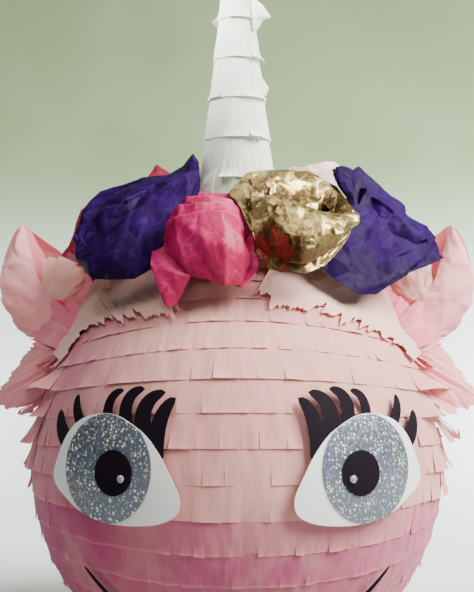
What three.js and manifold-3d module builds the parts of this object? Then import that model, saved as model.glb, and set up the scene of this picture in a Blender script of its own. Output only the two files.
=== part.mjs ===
// A unicorn-head pinata: a hollow papier-mache ball covered in rows of cut crepe paper, with a paper
// horn, two ears, six tissue roses, card eyes and lashes, a smile, and a hinged flap at the back
// through which it is filled. Millimetres, +Z up, the face looks along -Y, and the origin is the
// middle of the flat card disc that it stands on.
import * as THREE from "three";
import { mergeVertices } from "three/addons/utils/BufferGeometryUtils.js";
import Module from "manifold-3d";

const wasm = await Module();
wasm.setup();

// ---- driving dimensions ----
const gap = 0.35; // between pieces that touch
const around = 24; // facets round the head
const rings = 14; // and from pole to pole
const head = { radius: 190, wall: 4, foot: 85 };
const baseDisc = { radius: 88, thick: 3 };
const fringe = { rows: 16, firstEdge: 60.9, pitch: 7.9, width: 12.6, paper: 1.0 };
const fringeLift = { top: 0.6, bottom: 5.8 }; // how far a strip stands off the shell
const reach = head.radius + fringeLift.bottom + fringe.paper + 1.3; // radius that clears the fringe
const flap = { halfWidth: 17, top: 29.3, bottom: 5.6, slit: 0.35 }; // degrees on the ball
const horn = { lean: 8, foot: 45, tip: 9, height: 300, wall: 1.6, sides: 16 };
const tier = { count: 8, width: 50, paper: 0.8, lift: 4 };
const eye = { azimuth: 27.7, latitude: 0 };
const card = 0.7; // thickness of the eye and lash card
const ear = { thick: 1.4, lining: 1.6, yaw: 14 };
const loop = { wire: 3, half: 12, rise: 34, back: 12, foot: 14, under: 11.7, corner: 3 };

const footZ = baseDisc.thick + gap; // underside of the shell
const centreZ = footZ + Math.sqrt(head.radius ** 2 - head.foot ** 2);
const rad = THREE.MathUtils.degToRad;

// ---- materials ----
function paint(color, roughness, metalness = 0) {
  return new THREE.MeshStandardMaterial({ color, roughness, metalness });
}
const crepePink = paint(0xe9b3b0, 0.9);
const crepeWhite = paint(0xeeeee6, 0.9);
const pulp = paint(0xb9ad98, 0.95);
const cardboard = paint(0x9c7b55, 0.9);
const whiteCard = paint(0xf1f3f0, 0.7);
const blackCard = paint(0x17101c, 0.75);
const glitterFilm = paint(0xb9c0c4, 0.25, 0.8);
const crystal = paint(0xf5f7fb, 0.05, 0.1);
const wire = paint(0xa9adb0, 0.35, 1);
const cottonTape = paint(0xd8d2c2, 0.95);
const tissue = {
  violet: paint(0x3a2470, 0.6),
  magenta: paint(0xc0285c, 0.6),
  pink: paint(0xd62f66, 0.6),
  gold: paint(0xa98f4a, 0.3, 0.9),
  blush: paint(0xf2cfc6, 0.7),
};

// ---- solids ----
// A closed three.js geometry as a manifold-3d solid that faces outwards.
function solid(geometry, matrix = new THREE.Matrix4()) {
  const bare = new THREE.BufferGeometry();
  const flat = geometry.index ? geometry.toNonIndexed() : geometry;
  bare.setAttribute("position", flat.getAttribute("position").clone());
  const welded = mergeVertices(bare.applyMatrix4(matrix), 1e-4);
  const corners = welded.index.array;
  const kept = [];
  for (let i = 0; i < corners.length; i += 3) {
    const [a, b, c] = corners.slice(i, i + 3);
    if (a !== b && b !== c && c !== a) kept.push(a, b, c);
  }
  const make = (triVerts) =>
    new wasm.Manifold(
      new wasm.Mesh({
        numProp: 3,
        vertProperties: welded.attributes.position.array,
        triVerts: new Uint32Array(triVerts),
      }),
    );
  const made = make(kept);
  return made.volume() < 0 ? make(kept.slice().reverse()) : made;
}

function geometryOf(shape) {
  const mesh = shape.getMesh();
  const made = new THREE.BufferGeometry();
  made.setAttribute("position", new THREE.BufferAttribute(mesh.vertProperties.slice(), 3));
  made.setIndex(new THREE.BufferAttribute(mesh.triVerts.slice(), 1));
  made.computeVertexNormals();
  return made;
}

// A profile of [radius, height] points turned about +Z.
function turned(profile, sides, matrix) {
  const points = profile.map(([r, z]) => new THREE.Vector2(r, z));
  const lathe = new THREE.LatheGeometry(points, sides).rotateX(Math.PI / 2);
  return solid(lathe, matrix);
}

// A ball about the head's centre, as faceted as the shell, and a thin shell of one.
function ball(radius) {
  const profile = [];
  for (let i = 0; i <= rings; i++) {
    const a = rad(-90 + (180 * i) / rings);
    profile.push([i % rings === 0 ? 0 : radius * Math.cos(a), radius * Math.sin(a)]);
  }
  return turned(profile, around, new THREE.Matrix4().makeTranslation(0, 0, centreZ));
}
function ballShell(inner, outer) {
  return ball(outer).subtract(ball(inner));
}

// The unit vector out of the head at an azimuth (0 is the face, + is +X) and a latitude.
function outward(azimuth, latitude) {
  const [a, l] = [rad(azimuth), rad(latitude)];
  return new THREE.Vector3(Math.cos(l) * Math.sin(a), -Math.cos(l) * Math.cos(a), Math.sin(l));
}

// A matrix whose +Z is a direction out of a point, with +Y as near up as it can be.
function facing(direction, point, up = new THREE.Vector3(0, 0, 1)) {
  const z = direction.clone().normalize();
  const x = new THREE.Vector3().crossVectors(up, z).normalize();
  const y = new THREE.Vector3().crossVectors(z, x);
  return new THREE.Matrix4().makeBasis(x, y, z).setPosition(point);
}

// A wedge from the head's centre between two azimuths about the back and two latitudes.
function backWedge(halfWidth, low, high, inner = 120, outer = 260) {
  const box = new THREE.BoxGeometry(1, 1, 1);
  const at = box.getAttribute("position");
  for (let i = 0; i < at.count; i++) {
    const way = outward(180 - 2 * halfWidth * at.getX(i), at.getY(i) > 0 ? high : low);
    way.multiplyScalar(at.getZ(i) > 0 ? outer : inner);
    at.setXYZ(i, way.x, way.y, way.z + centreZ);
  }
  return solid(box);
}

// A smooth closed outline through points, as a shape.
function outline(points, detail = 3) {
  const curve = new THREE.CatmullRomCurve3(
    points.map(([x, y]) => new THREE.Vector3(x, y, 0)),
    true,
    "centripetal",
  );
  const ring = curve.getPoints(points.length * detail).slice(0, -1);
  return new THREE.Shape(ring.map((p) => new THREE.Vector2(p.x, p.y)));
}

function prism(shape, depth, matrix) {
  return solid(new THREE.ExtrudeGeometry(shape, { depth, bevelEnabled: false }), matrix);
}

const pinata = new THREE.Group();
function add(name, shape, material) {
  const mesh = new THREE.Mesh(geometryOf(shape), material);
  mesh.name = name;
  pinata.add(mesh);
}

// ---- the papier-mache head, its filling flap and its foot ----
const window = backWedge(flap.halfWidth, flap.bottom, flap.top);
const door = backWedge(flap.halfWidth - flap.slit, flap.bottom + flap.slit, flap.top - flap.slit);
const hingeRoom = 2.7; // degrees kept free above the hinge, so that the flap's crepe can swing
const sweep = backWedge(flap.halfWidth + 0.5, flap.bottom - 0.6, flap.top + hingeRoom);
const aboveFoot = solid(
  new THREE.BoxGeometry(600, 600, 900),
  new THREE.Matrix4().makeTranslation(0, 0, 450 + footZ),
);
const cavity = ball(head.radius - head.wall).intersect(aboveFoot.translate([0, 0, head.wall]));
const topOfHead = outward(180, 90 - loop.back).multiplyScalar(head.radius);
topOfHead.z += centreZ;

// The hanging loop: a wire hairpin through the crown, its feet turned outwards under a card disc.
function loopPath() {
  const { half, rise, foot, corner } = loop;
  const under = -loop.under;
  const path = new THREE.CurvePath();
  const points = [
    [-half - foot, under],
    [-half, under],
    [-half, rise - half],
  ];
  const v = ([x, z]) => new THREE.Vector3(x, 0, z);
  const cut = (x, side) => [v([x + side * corner, under]), v([x, under]), v([x, under + corner])];
  path.add(new THREE.LineCurve3(v(points[0]), v([-half - corner, under])));
  path.add(new THREE.QuadraticBezierCurve3(...cut(-half, -1)));
  path.add(new THREE.LineCurve3(v([-half, under + corner]), v(points[2])));
  for (const [a, b] of [[180, 120], [120, 60], [60, 0]]) {
    const p = (t) => v([half * Math.cos(rad(t)), rise - half + half * Math.sin(rad(t))]);
    const k = 1 / Math.cos(rad(30));
    const m = rad((a + b) / 2);
    const mid = v([half * k * Math.cos(m), rise - half + half * k * Math.sin(m)]);
    path.add(new THREE.QuadraticBezierCurve3(p(a), mid, p(b)));
  }
  path.add(new THREE.LineCurve3(v([half, rise - half]), v([half, under + corner])));
  path.add(new THREE.QuadraticBezierCurve3(...cut(half, 1).reverse()));
  path.add(new THREE.LineCurve3(v([half + corner, under]), v([half + foot, under])));
  return path;
}
const loopPlace = facing(new THREE.Vector3(0, 0, 1), topOfHead, new THREE.Vector3(0, 1, 0));
const section = new THREE.Shape().absarc(0, 0, loop.wire / 2, 0, 2 * Math.PI);
const hairpin = solid(
  new THREE.ExtrudeGeometry(section, { steps: 30, extrudePath: loopPath(), curveSegments: 3 }),
  loopPlace,
);
const legHole = (x) =>
  turned([[0, -40], [loop.wire / 2 + gap, -40], [loop.wire / 2 + gap, 20], [0, 20]], 8,
    new THREE.Matrix4().makeTranslation(topOfHead.x + x, topOfHead.y, topOfHead.z));
const legHoles = legHole(-loop.half).add(legHole(loop.half));

const shell = ball(head.radius).intersect(aboveFoot).subtract(cavity).subtract(window).subtract(legHoles);
add("papier_mache_head", shell, pulp);
add("base_disc",
  turned([[0, 0], [baseDisc.radius, 0], [baseDisc.radius, baseDisc.thick], [0, baseDisc.thick]], around),
  cardboard);
add("fill_flap", ballShell(head.radius - head.wall, head.radius).intersect(door), pulp);

const stopInner = head.radius - head.wall - gap; // outer radius of what is glued inside the shell
add("flap_stop_rim",
  ballShell(stopInner - 2.4, stopInner)
    .intersect(backWedge(flap.halfWidth + 2.5, flap.bottom - 3, flap.top - 2.4))
    .subtract(backWedge(flap.halfWidth - 3, flap.bottom + 3, flap.top + 10)),
  cardboard);
add("flap_hinge_tape",
  ballShell(stopInner - 0.6, stopInner)
    .intersect(backWedge(flap.halfWidth - 3, flap.top + 0.4, flap.top + 5)),
  cottonTape);

const anchor = { radius: 30, thick: 2.4, depth: 9.2 };
const anchorPlace = facing(outward(180, 90 - loop.back), topOfHead).multiply(
  new THREE.Matrix4().makeTranslation(0, 0, -anchor.depth),
);
add("hanging_anchor_disc",
  turned([[0, 0], [anchor.radius, 0], [anchor.radius, anchor.thick], [0, anchor.thick]], 16, anchorPlace)
    .intersect(ball(stopInner))
    .subtract(legHoles),
  cardboard);
add("hanging_loop", hairpin, wire);

// ---- the horn: a card cone with a blunt tip, wrapped in tiers of white crepe ----
const hornWay = outward(0, 90 - horn.lean);
const hornPlace = facing(
  hornWay,
  hornWay.clone().multiplyScalar(head.radius - 12).add(new THREE.Vector3(0, 0, centreZ)),
  new THREE.Vector3(0, 1, 0),
);
const hornLength = horn.height + 12;
// The cone's radius at a height above its own foot: a little concave, as the foot flares.
const hornRadius = (z) => {
  const t = z / hornLength;
  return horn.foot + (horn.tip - horn.foot) * (1 - (1 - t) ** 1.18);
};
function hornSide(offset, steps = 4) {
  const side = [];
  for (let i = 0; i <= steps; i++) {
    const z = (hornLength * i) / steps;
    side.push([hornRadius(z) + offset, z]);
  }
  return side;
}
const headBall = ball(head.radius + gap);
const cone = turned(
  [[0, hornLength + 5 - horn.wall], ...hornSide(-horn.wall).reverse(), ...hornSide(0), [0, hornLength + 5]],
  horn.sides,
  hornPlace,
).subtract(headBall);
add("horn_cone", cone, cardboard);
// What the horn and its crepe fill, for pieces that make room for them.
const hornRoom = turned(
  [[0, -10], ...hornSide(tier.lift + tier.paper + 3), [0, hornLength + 10]],
  horn.sides,
  hornPlace,
);

const tierPitch = (horn.height + 4) / tier.count;
for (let i = 0; i < tier.count; i++) {
  const low = hornLength - tierPitch * (i + 1) + 2;
  const high = Math.min(low + tier.width, hornLength - 2);
  const profile = [
    [hornRadius(high) + 0.8, high],
    [hornRadius(low) + tier.lift, low],
    [hornRadius(low) + tier.lift + tier.paper, low],
    [hornRadius(high) + 0.8 + tier.paper, high],
  ];
  profile.push(profile[0]);
  add(`horn_tier_${i + 1}`, turned(profile, horn.sides, hornPlace).subtract(headBall), crepeWhite);
}

// ---- rows of crepe fringe, each overlapping the one below ----
function fringeRow(k) {
  const low = fringe.firstEdge - fringe.pitch * k;
  const high = low + fringe.width;
  const at = (latitude, lift) => [
    (head.radius + lift) * Math.cos(rad(latitude)),
    centreZ + (head.radius + lift) * Math.sin(rad(latitude)),
  ];
  const profile = [
    at(high, fringeLift.top),
    at(low, fringeLift.bottom),
    at(low, fringeLift.bottom + fringe.paper),
    at(high, fringeLift.top + fringe.paper),
  ];
  profile.push(profile[0]);
  return turned(profile, around);
}
const flapRows = [5, 6, 7]; // the rows, counted from 0, whose edges lie on the flap
for (let k = 0; k < fringe.rows; k++) {
  let row = fringeRow(k);
  if (k < 2) row = row.subtract(hornRoom);
  if (k > 2 && k < 9) row = row.subtract(sweep);
  add(`crepe_row_${String(k + 1).padStart(2, "0")}`, row, crepePink);
}
flapRows.forEach((k, i) => {
  add(`flap_crepe_${i + 1}`, fringeRow(k).intersect(door), crepePink);
});

// ---- tissue roses round the foot of the horn ----
// name, colour, middle of the bloom from the head's centre, way it faces, radius, height
const roses = [
  ["rose_pink", tissue.pink, [-27, -112, 190], [-0.25, -0.85, 0.45], 48, 58],
  ["rose_gold", tissue.gold, [50, -104, 200], [0.15, -0.75, 0.65], 50, 58],
  ["rose_violet_left", tissue.violet, [-98, -68, 198], [-0.6, -0.5, 0.62], 52, 60],
  ["rose_violet_right", tissue.violet, [128, -62, 190], [0.66, -0.42, 0.62], 54, 60],
  ["rose_magenta", tissue.magenta, [-112, 14, 190], [-0.62, 0.1, 0.78], 50, 54],
  ["rose_blush", tissue.blush, [84, 16, 206], [0.4, 0.12, 0.9], 46, 54],
];
const bloomProfile = [[0, -0.5], [0.42, -0.46], [0.82, -0.2], [1, 0.12], [0.94, 0.4], [0.72, 0.5], [0.3, 0.42], [0, 0.4]];
const fringeBall = ball(reach);
let planted = hornRoom;
for (const [name, material, middle, way, radius, height] of roses) {
  const place = facing(new THREE.Vector3(...way), new THREE.Vector3(...middle).add(new THREE.Vector3(0, 0, centreZ)));
  const bloom = (grow) =>
    turned(bloomProfile.map(([r, z]) => [r * (radius + grow), z * (height + 2 * grow)]), 14, place);
  const rose = bloom(0).subtract(fringeBall).subtract(planted);
  planted = planted.add(bloom(gap));
  const pieces = rose.decompose().sort((a, b) => b.volume() - a.volume());
  add(name, pieces[0], material);
}

// ---- ears: card, a crepe lining in front, and a gathered crepe ruffle round the root ----
// Outline seen from the front, x outwards from the head's middle and y above its centre.
const earEdge = [
  [118, 142], [140, 178], [172, 198], [206, 222], [219, 212], [228, 180], [225, 146], [206, 112], [176, 84], [150, 100],
];
const earMiddle = [178, 150];
for (const [side, s] of [["left", -1], ["right", 1]]) {
  const edge = (shrink) => {
    const points = earEdge.map(([x, y]) => [
      s * (earMiddle[0] + (x - earMiddle[0]) * shrink),
      earMiddle[1] + (y - earMiddle[1]) * shrink,
    ]);
    return outline(s < 0 ? points.reverse() : points, 2);
  };
  // The card stands upright across the head and is turned so that its outer edge comes forward.
  const turn = new THREE.Matrix4()
    .makeTranslation(s * earMiddle[0], -8, centreZ)
    .multiply(new THREE.Matrix4().makeRotationZ(rad(s * ear.yaw)))
    .multiply(new THREE.Matrix4().makeRotationX(Math.PI / 2))
    .multiply(new THREE.Matrix4().makeTranslation(-s * earMiddle[0], 0, 0));
  const deeper = (z) => turn.clone().multiply(new THREE.Matrix4().makeTranslation(0, 0, z));
  const clearOfRoses = planted;
  const earCard = prism(edge(1), ear.thick, deeper(0)).subtract(fringeBall).subtract(clearOfRoses);
  const lining = prism(edge(0.9), ear.lining, deeper(ear.thick + gap)).subtract(fringeBall).subtract(clearOfRoses);
  const biggest = (shape) => shape.decompose().sort((a, b) => b.volume() - a.volume())[0];
  add(`ear_card_${side}`, biggest(earCard), cardboard);
  add(`ear_lining_${side}`, biggest(lining), crepePink);
  const rootWay = new THREE.Vector3(s * 0.77, -0.06, 0.64).normalize();
  const rootPlace = facing(rootWay, rootWay.clone().multiplyScalar(reach + 2).add(new THREE.Vector3(0, 0, centreZ)));
  const ruffle = turned(
    [[16, -2], [52, -12], [56, -3], [24, 11], [16, -2]],
    14,
    rootPlace.multiply(new THREE.Matrix4().makeScale(0.62, 1, 1)),
  );
  const slot = prism(edge(1.06), ear.thick + ear.lining + 4 * gap, deeper(-gap));
  add(`ear_ruffle_${side}`, biggest(ruffle.subtract(fringeBall).subtract(slot).subtract(clearOfRoses)), crepePink);
}

// ---- eyes and lashes: card cut flat, then bent round the ball over the crepe ----
// x runs towards the nose and y up, from the middle of the pupil.
const eyeWhite = [
  [-67, -8], [-60, 14], [-50, 30], [-36, 40], [-18, 44], [-2, 43], [12, 37], [26, 28], [38, 14], [47, -2],
  [53, -17], [50, -29], [36, -36], [15, -38.5], [-8, -38], [-28, -33.5], [-48, -24],
];
const irisAt = { x: -9, y: 3, radius: 41.2 };
const pupilRadius = 17;
const gemAt = { x: 8, y: -4, radius: 3.2, height: 2.2 };
// foot, bend and tip of each lash's middle line, and its half-width at the foot
const lashes = {
  outer: [
    [[-48, 19], [-66, 29], [-66.6, 46.4], 7.5],
    [[-36, 34], [-50, 47], [-47.1, 58.8], 5],
  ],
  inner: [
    [[-10, 36], [-16, 60], [0.6, 61.8], 4.6],
    [[8, 33], [-1, 61], [19.1, 62.9], 5.8],
    [[24, 25], [14, 56], [36.7, 60.4], 7],
    [[34, 12], [32, 47], [45.3, 56.1], 6.6],
  ],
};
// the strip behind the white of the eye that joins the feet of a fan
const lashRoots = {
  outer: [[-52, 22], [-34, 37], [-26, 30], [-42, 14]],
  inner: [[-18, 35], [-2, 37], [13, 32], [26, 23], [36, 12], [28, 6], [6, 20], [-18, 24]],
};
function lashShape([foot, bend, tip, halfWidth], s) {
  const line = new THREE.QuadraticBezierCurve(
    new THREE.Vector2(...foot),
    new THREE.Vector2(...bend),
    new THREE.Vector2(...tip),
  );
  const steps = 5;
  const [left, right] = [[], []];
  for (let i = 0; i <= steps; i++) {
    const t = i / steps;
    const at = line.getPoint(t);
    const way = line.getTangent(t);
    const w = halfWidth * Math.sqrt(1 - t ** 2.4);
    left.push(new THREE.Vector2(s * (at.x - way.y * w), at.y + way.x * w));
    if (i < steps) right.push(new THREE.Vector2(s * (at.x + way.y * w), at.y - way.x * w));
  }
  return new THREE.Shape([...left, ...right.reverse()]);
}
const disk = (x, y, r, s, sides = 24) => {
  const points = [];
  for (let i = 0; i < sides; i++) {
    const a = (2 * Math.PI * i) / sides;
    points.push(new THREE.Vector2(s * x + r * Math.cos(a), y + r * Math.sin(a)));
  }
  return new THREE.Shape(points);
};
// Sheets of card one over another, by their inner radius on the ball.
const layer = [0, 1, 2, 3, 4].map((n) => reach + n * (card + gap));
const bent = (n) => ballShell(layer[n], layer[n] + card);
for (const [side, s] of [["left", 1], ["right", -1]]) {
  const way = outward(-s * eye.azimuth, eye.latitude);
  const place = facing(way, new THREE.Vector3(0, 0, centreZ));
  const press = (shape) => prism(shape, 260, place);
  const white = press(outline(eyeWhite.map(([x, y]) => [s * x, y]), 2));
  for (const [which, list] of Object.entries(lashes)) {
    const root = lashRoots[which];
    let fan = press(new THREE.Shape(root.map(([x, y]) => new THREE.Vector2(s * x, y))));
    for (const lash of list) fan = fan.add(press(lashShape(lash, s)));
    add(`lashes_${which}_${side}`, fan.intersect(bent(0)), blackCard);
  }
  add(`eye_white_${side}`, white.intersect(bent(1)), whiteCard);
  const iris = press(disk(irisAt.x, irisAt.y, irisAt.radius, s)).intersect(white);
  add(`iris_${side}`, iris.intersect(bent(2)), glitterFilm);
  add(`pupil_${side}`, press(disk(0, 0, pupilRadius, s)).intersect(bent(3)), blackCard);
  const { x, y, radius, height } = gemAt;
  const on = new THREE.Vector3(s * x, y, 0).applyMatrix4(place).sub(new THREE.Vector3(0, 0, centreZ));
  const gemWay = way.clone().multiplyScalar(Math.sqrt(layer[4] ** 2 - on.lengthSq())).add(on).normalize();
  const gemPlace = facing(gemWay, gemWay.clone().multiplyScalar(layer[4] + 0.1).add(new THREE.Vector3(0, 0, centreZ)));
  add(`gem_${side}`, turned([[0, 0], [radius, 0], [radius * 0.55, height], [0, height]], 8, gemPlace), crystal);
}

// ---- the smile: a tapering strip of black card across the lower face ----
const smile = { end: 41, endLatitude: -22.5, drop: 27, half: 4.2, steps: 14 };
function smileStrip() {
  const [upper, lower] = [[], []];
  for (let i = 0; i <= smile.steps; i++) {
    const u = -1 + (2 * i) / smile.steps;
    const latitude = smile.endLatitude - smile.drop * (1 - u * u);
    const at = outward(smile.end * u, latitude);
    const half = (smile.half * Math.sqrt(1 - u * u) + 0.5) / head.radius;
    const on = (offset) => outward(smile.end * u, latitude + THREE.MathUtils.radToDeg(offset));
    upper.push(on(half), at);
    lower.push(on(-half));
  }
  return { upper, lower };
}
// The strip is a solid cut from the ball by a fan of wedges along its middle line.
function smileSolid() {
  const { upper, lower } = smileStrip();
  const positions = [];
  const ring = (i) => [upper[2 * i], lower[i]].flatMap((way) => [150, 240].map((r) => way.clone().multiplyScalar(r)));
  const quad = (a, b, c, d) => positions.push(...[a, b, c, a, c, d].flatMap((p) => [p.x, p.y, p.z + centreZ]));
  for (let i = 0; i < smile.steps; i++) {
    const [ui, uo, li, lo] = ring(i);
    const [vi, vo, mi, mo] = ring(i + 1);
    quad(uo, lo, mo, vo);
    quad(ui, vi, mi, li);
    quad(ui, uo, vo, vi);
    quad(li, mi, mo, lo);
  }
  const cap = (i, flip) => {
    const [ui, uo, li, lo] = ring(i);
    flip ? quad(ui, uo, lo, li) : quad(ui, li, lo, uo);
  };
  cap(0, false);
  cap(smile.steps, true);
  const made = new THREE.BufferGeometry();
  made.setAttribute("position", new THREE.Float32BufferAttribute(positions, 3));
  return solid(made);
}
add("smile", smileSolid().intersect(bent(0)), blackCard);

export default pinata;
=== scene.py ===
# A unicorn-head pinata: a papier-mache ball in pink crepe fringe, with a white crepe horn, six
# crumpled tissue roses, two ears, card eyes and lashes, a smile, and a filling flap at the back.
# Metres, +Z up, the face looks along -Y. "Left" and "right" are the viewer's.
import math
import random
import bmesh
import bpy
from mathutils import Matrix, Vector, noise
from mathutils.bvhtree import BVHTree


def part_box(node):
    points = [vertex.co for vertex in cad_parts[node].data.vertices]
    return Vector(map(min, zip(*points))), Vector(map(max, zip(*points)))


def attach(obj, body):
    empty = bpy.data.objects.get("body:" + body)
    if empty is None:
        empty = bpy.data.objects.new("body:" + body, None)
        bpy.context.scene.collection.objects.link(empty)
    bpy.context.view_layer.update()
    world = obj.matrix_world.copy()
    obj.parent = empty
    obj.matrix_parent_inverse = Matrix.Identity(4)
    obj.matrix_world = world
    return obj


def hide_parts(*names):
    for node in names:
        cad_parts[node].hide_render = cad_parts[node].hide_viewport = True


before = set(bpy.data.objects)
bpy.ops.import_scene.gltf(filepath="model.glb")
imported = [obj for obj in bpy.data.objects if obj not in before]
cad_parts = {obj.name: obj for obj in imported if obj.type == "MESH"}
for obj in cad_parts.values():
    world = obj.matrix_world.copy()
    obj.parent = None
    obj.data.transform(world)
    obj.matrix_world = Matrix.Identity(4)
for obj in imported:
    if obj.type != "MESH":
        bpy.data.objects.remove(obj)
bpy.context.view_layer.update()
print("frame loaded:", len(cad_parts), "nodes")

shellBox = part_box("papier_mache_head")
headRadius = (shellBox[1][0] - shellBox[0][0]) / 2
headCentre = Vector((0, 0, shellBox[1][2] - headRadius))
mm = 0.001


def outward(azimuth, latitude):  # degrees; azimuth 0 is the face, and + is towards +X
    a, l = math.radians(azimuth), math.radians(latitude)
    return Vector((math.cos(l) * math.sin(a), -math.cos(l) * math.cos(a), math.sin(l)))


def onHead(azimuth, latitude, lift=0.0):
    return headCentre + outward(azimuth, latitude) * (headRadius + lift)


def facing(direction, point, up=(0, 0, 1)):
    z = Vector(direction).normalized()
    x = Vector(up).cross(z).normalized()
    y = z.cross(x)
    turned = Matrix((x, y, z)).transposed().to_4x4()
    return Matrix.Translation(point) @ turned


def smooth(low, high, x):
    t = min(max((x - low) / (high - low), 0), 1)
    return t * t * (3 - 2 * t)


def lerp(a, b, t):
    return a + (b - a) * t


# Node trees written as sums.
class Link:
    def __init__(self, graph, socket):
        self.graph, self.socket = graph, socket

    def maths(self, operation, *others):
        return self.graph.node("ShaderNodeMath", {"operation": operation}, [self, *others])

    def __add__(self, other):
        return self.maths("ADD", other)

    def __sub__(self, other):
        return self.maths("SUBTRACT", other)

    def __mul__(self, other):
        return self.maths("MULTIPLY", other)

    def __truediv__(self, other):
        return self.maths("DIVIDE", other)

    def __pow__(self, other):
        return self.maths("POWER", other)

    def __rsub__(self, other):
        return self.graph.node("ShaderNodeMath", {"operation": "SUBTRACT"}, [other, self])

    def __neg__(self):
        return self * -1

    __radd__ = __add__
    __rmul__ = __mul__

    def floor(self):
        return self.maths("FLOOR")

    def least(self, other):
        return self.maths("MINIMUM", other)

    def most(self, other):
        return self.maths("MAXIMUM", other)

    def ramp(self, low, high, start=0.0, end=1.0, kind="SMOOTHSTEP"):
        return self.graph.node("ShaderNodeMapRange", {"interpolation_type": kind},
                               {0: self, 1: low, 2: high, 3: start, 4: end})

    def scaled(self, vector):
        return self.graph.node("ShaderNodeVectorMath", {"operation": "MULTIPLY"}, [self, vector])

    def shifted(self, vector):
        return self.graph.node("ShaderNodeVectorMath", {"operation": "ADD"}, [self, vector])

    def part(self, index):
        return self.graph.node("ShaderNodeSeparateXYZ", None, [self], index)

    def other(self, output):
        return Link(self.graph, self.socket.node.outputs[output])


class Graph:
    def __init__(self, tree):
        self.tree = tree

    def node(self, kind, settings=None, values=None, output=0):
        made = self.tree.nodes.new(kind)
        for name, setting in (settings or {}).items():
            if name == "stops":
                while len(made.color_ramp.elements) < len(setting):
                    made.color_ramp.elements.new(1)
                for element, (place, colour) in zip(made.color_ramp.elements, setting):
                    element.position, element.color = place, (*colour, 1)
            else:
                setattr(made, name, setting)
        pairs = values.items() if isinstance(values, dict) else enumerate(values or [])
        for key, value in pairs:
            self.feed(made, key, value)
        return Link(self, made.outputs[output]) if len(made.outputs) else made

    def feed(self, made, key, value):
        made = made.socket.node if isinstance(made, Link) else made
        socket = made.inputs[key]
        if isinstance(value, Link):
            self.tree.links.new(value.socket, socket)
        else:
            socket.default_value = value

    def mix(self, factor, a, b, blend="MIX"):
        a, b = ((*c, 1) if isinstance(c, tuple) and len(c) == 3 else c for c in (a, b))
        return self.node("ShaderNodeMix", {"data_type": "RGBA", "blend_type": blend},
                         {0: factor, 6: a, 7: b}, 2)

    def noise(self, vector, scale, detail=3.0, roughness=0.5, warp=0.0):
        return self.node("ShaderNodeTexNoise", None, {"Vector": vector, "Scale": scale,
                         "Detail": detail, "Roughness": roughness, "Distortion": warp})

    # Creases like those of crumpled paper, 0 along the folds.
    def crease(self, vector, scale, warp=0.4):
        return (self.noise(vector, scale, 1.5, 0.45, warp) - 0.5).maths("ABSOLUTE")

    # Flat facets of crumpled paper, each tilted its own way, as a height in metres.
    def facets(self, vector, size, warp):
        drift = self.node("ShaderNodeTexNoise", None, {"Vector": vector, "Scale": 30.0, "Detail": 1.0}, 1)
        bent = self.node("ShaderNodeVectorMath", {"operation": "ADD"}, [vector, drift.scaled((warp,) * 3)])
        cell = self.node("ShaderNodeTexVoronoi", {"feature": "F1"},
                         {"Vector": bent, "Scale": 1 / size, "Randomness": 1.0})
        away = self.node("ShaderNodeVectorMath", {"operation": "SUBTRACT"}, [bent, cell.other("Position")])
        return self.node("ShaderNodeVectorMath", {"operation": "DOT_PRODUCT"},
                         [away, cell.other("Color").shifted((-0.5, -0.5, -0.5))], 1)

    def joined(self, x, y, z):
        return self.node("ShaderNodeCombineXYZ", None, [x, y, z])


class Finish(Graph):
    def __init__(self, name, **uniform):
        self.material = bpy.data.materials.new(name)
        self.material.use_nodes = True
        super().__init__(self.material.node_tree)
        self.tree.nodes.clear()
        self.shader = self.node("ShaderNodeBsdfPrincipled", None,
                                {k.replace("_", " "): v for k, v in uniform.items()})
        self.node("ShaderNodeOutputMaterial", None, [self.shader])

    def put(self, **links):
        for name, value in links.items():
            self.feed(self.shader, name.replace("_", " "), value)

    def bump(self, height, depth, strength=1.0, under=None):
        values = {"Strength": strength, "Distance": depth, "Height": height}
        if under is not None:
            values["Normal"] = under
        made = self.node("ShaderNodeBump", None, values)
        self.put(Normal=made)
        return made

    def attribute(self, name, output="Vector"):
        return self.node("ShaderNodeAttribute", {"attribute_name": name}, None, output)

    def place(self):
        return self.node("ShaderNodeTexCoord", None, None, "Object")


# Finishes.
# Crepe paper: fine grain down the strip, tint by strip, faint blotches, and a painted highlight along the
# tips of the teeth.
# "paper" is the place on the sheet in mm (across, down, sheet number), and "tint" runs from 0 to 1 from strip
# to strip; it also carries the deeper pink of the lower rows and the left side, which is partly painted
# shade.
def crepeFinish(name, pale, deep, warm, grain, blotch=0.5, sheen=0.15):
    f = Finish(name, Roughness=0.85, Sheen_Weight=sheen, Sheen_Roughness=0.6)
    f.put(Specular_IOR_Level=0.2, Subsurface_Weight=0.3, Subsurface_Radius=(1.0, 0.35, 0.3),
          Subsurface_Scale=0.004)
    paper, tint = f.attribute("paper"), f.attribute("tint", "Fac")
    fine = f.noise(paper.scaled((2.2, 0.10, 5.0)), 1.0, 4.0, 0.65)
    coarse = f.noise(paper.scaled((0.22, 0.03, 5.0)), 1.0, 3.0, 0.55)
    cloud = f.noise(f.place(), 16.0, 3.0, 0.6)
    colour = f.mix(tint, pale, deep)
    colour = f.mix(cloud.ramp(0.42, 0.72) * blotch, colour, warm)
    colour = f.mix((fine - 0.5).ramp(0.0, 0.35) * 0.16, colour, (1.0, 0.97, 0.95), "SOFT_LIGHT")
    colour = f.mix(fine.ramp(0.5, 0.28) * 0.15, colour, deep, "MULTIPLY")
    # painted highlight: the paper is paler along the tips of the teeth, 41 to 44 mm down the strip
    colour = f.mix(paper.part(1).ramp(41.0, 44.0) * 0.3, colour, pale)
    f.put(Base_Color=colour, Roughness=fine.ramp(0.3, 0.7, 0.78, 0.92))
    first = f.bump(fine, 0.0003 * grain, 0.7)
    f.bump(coarse, 0.0010 * grain, 0.3, first)
    return f.material
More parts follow.
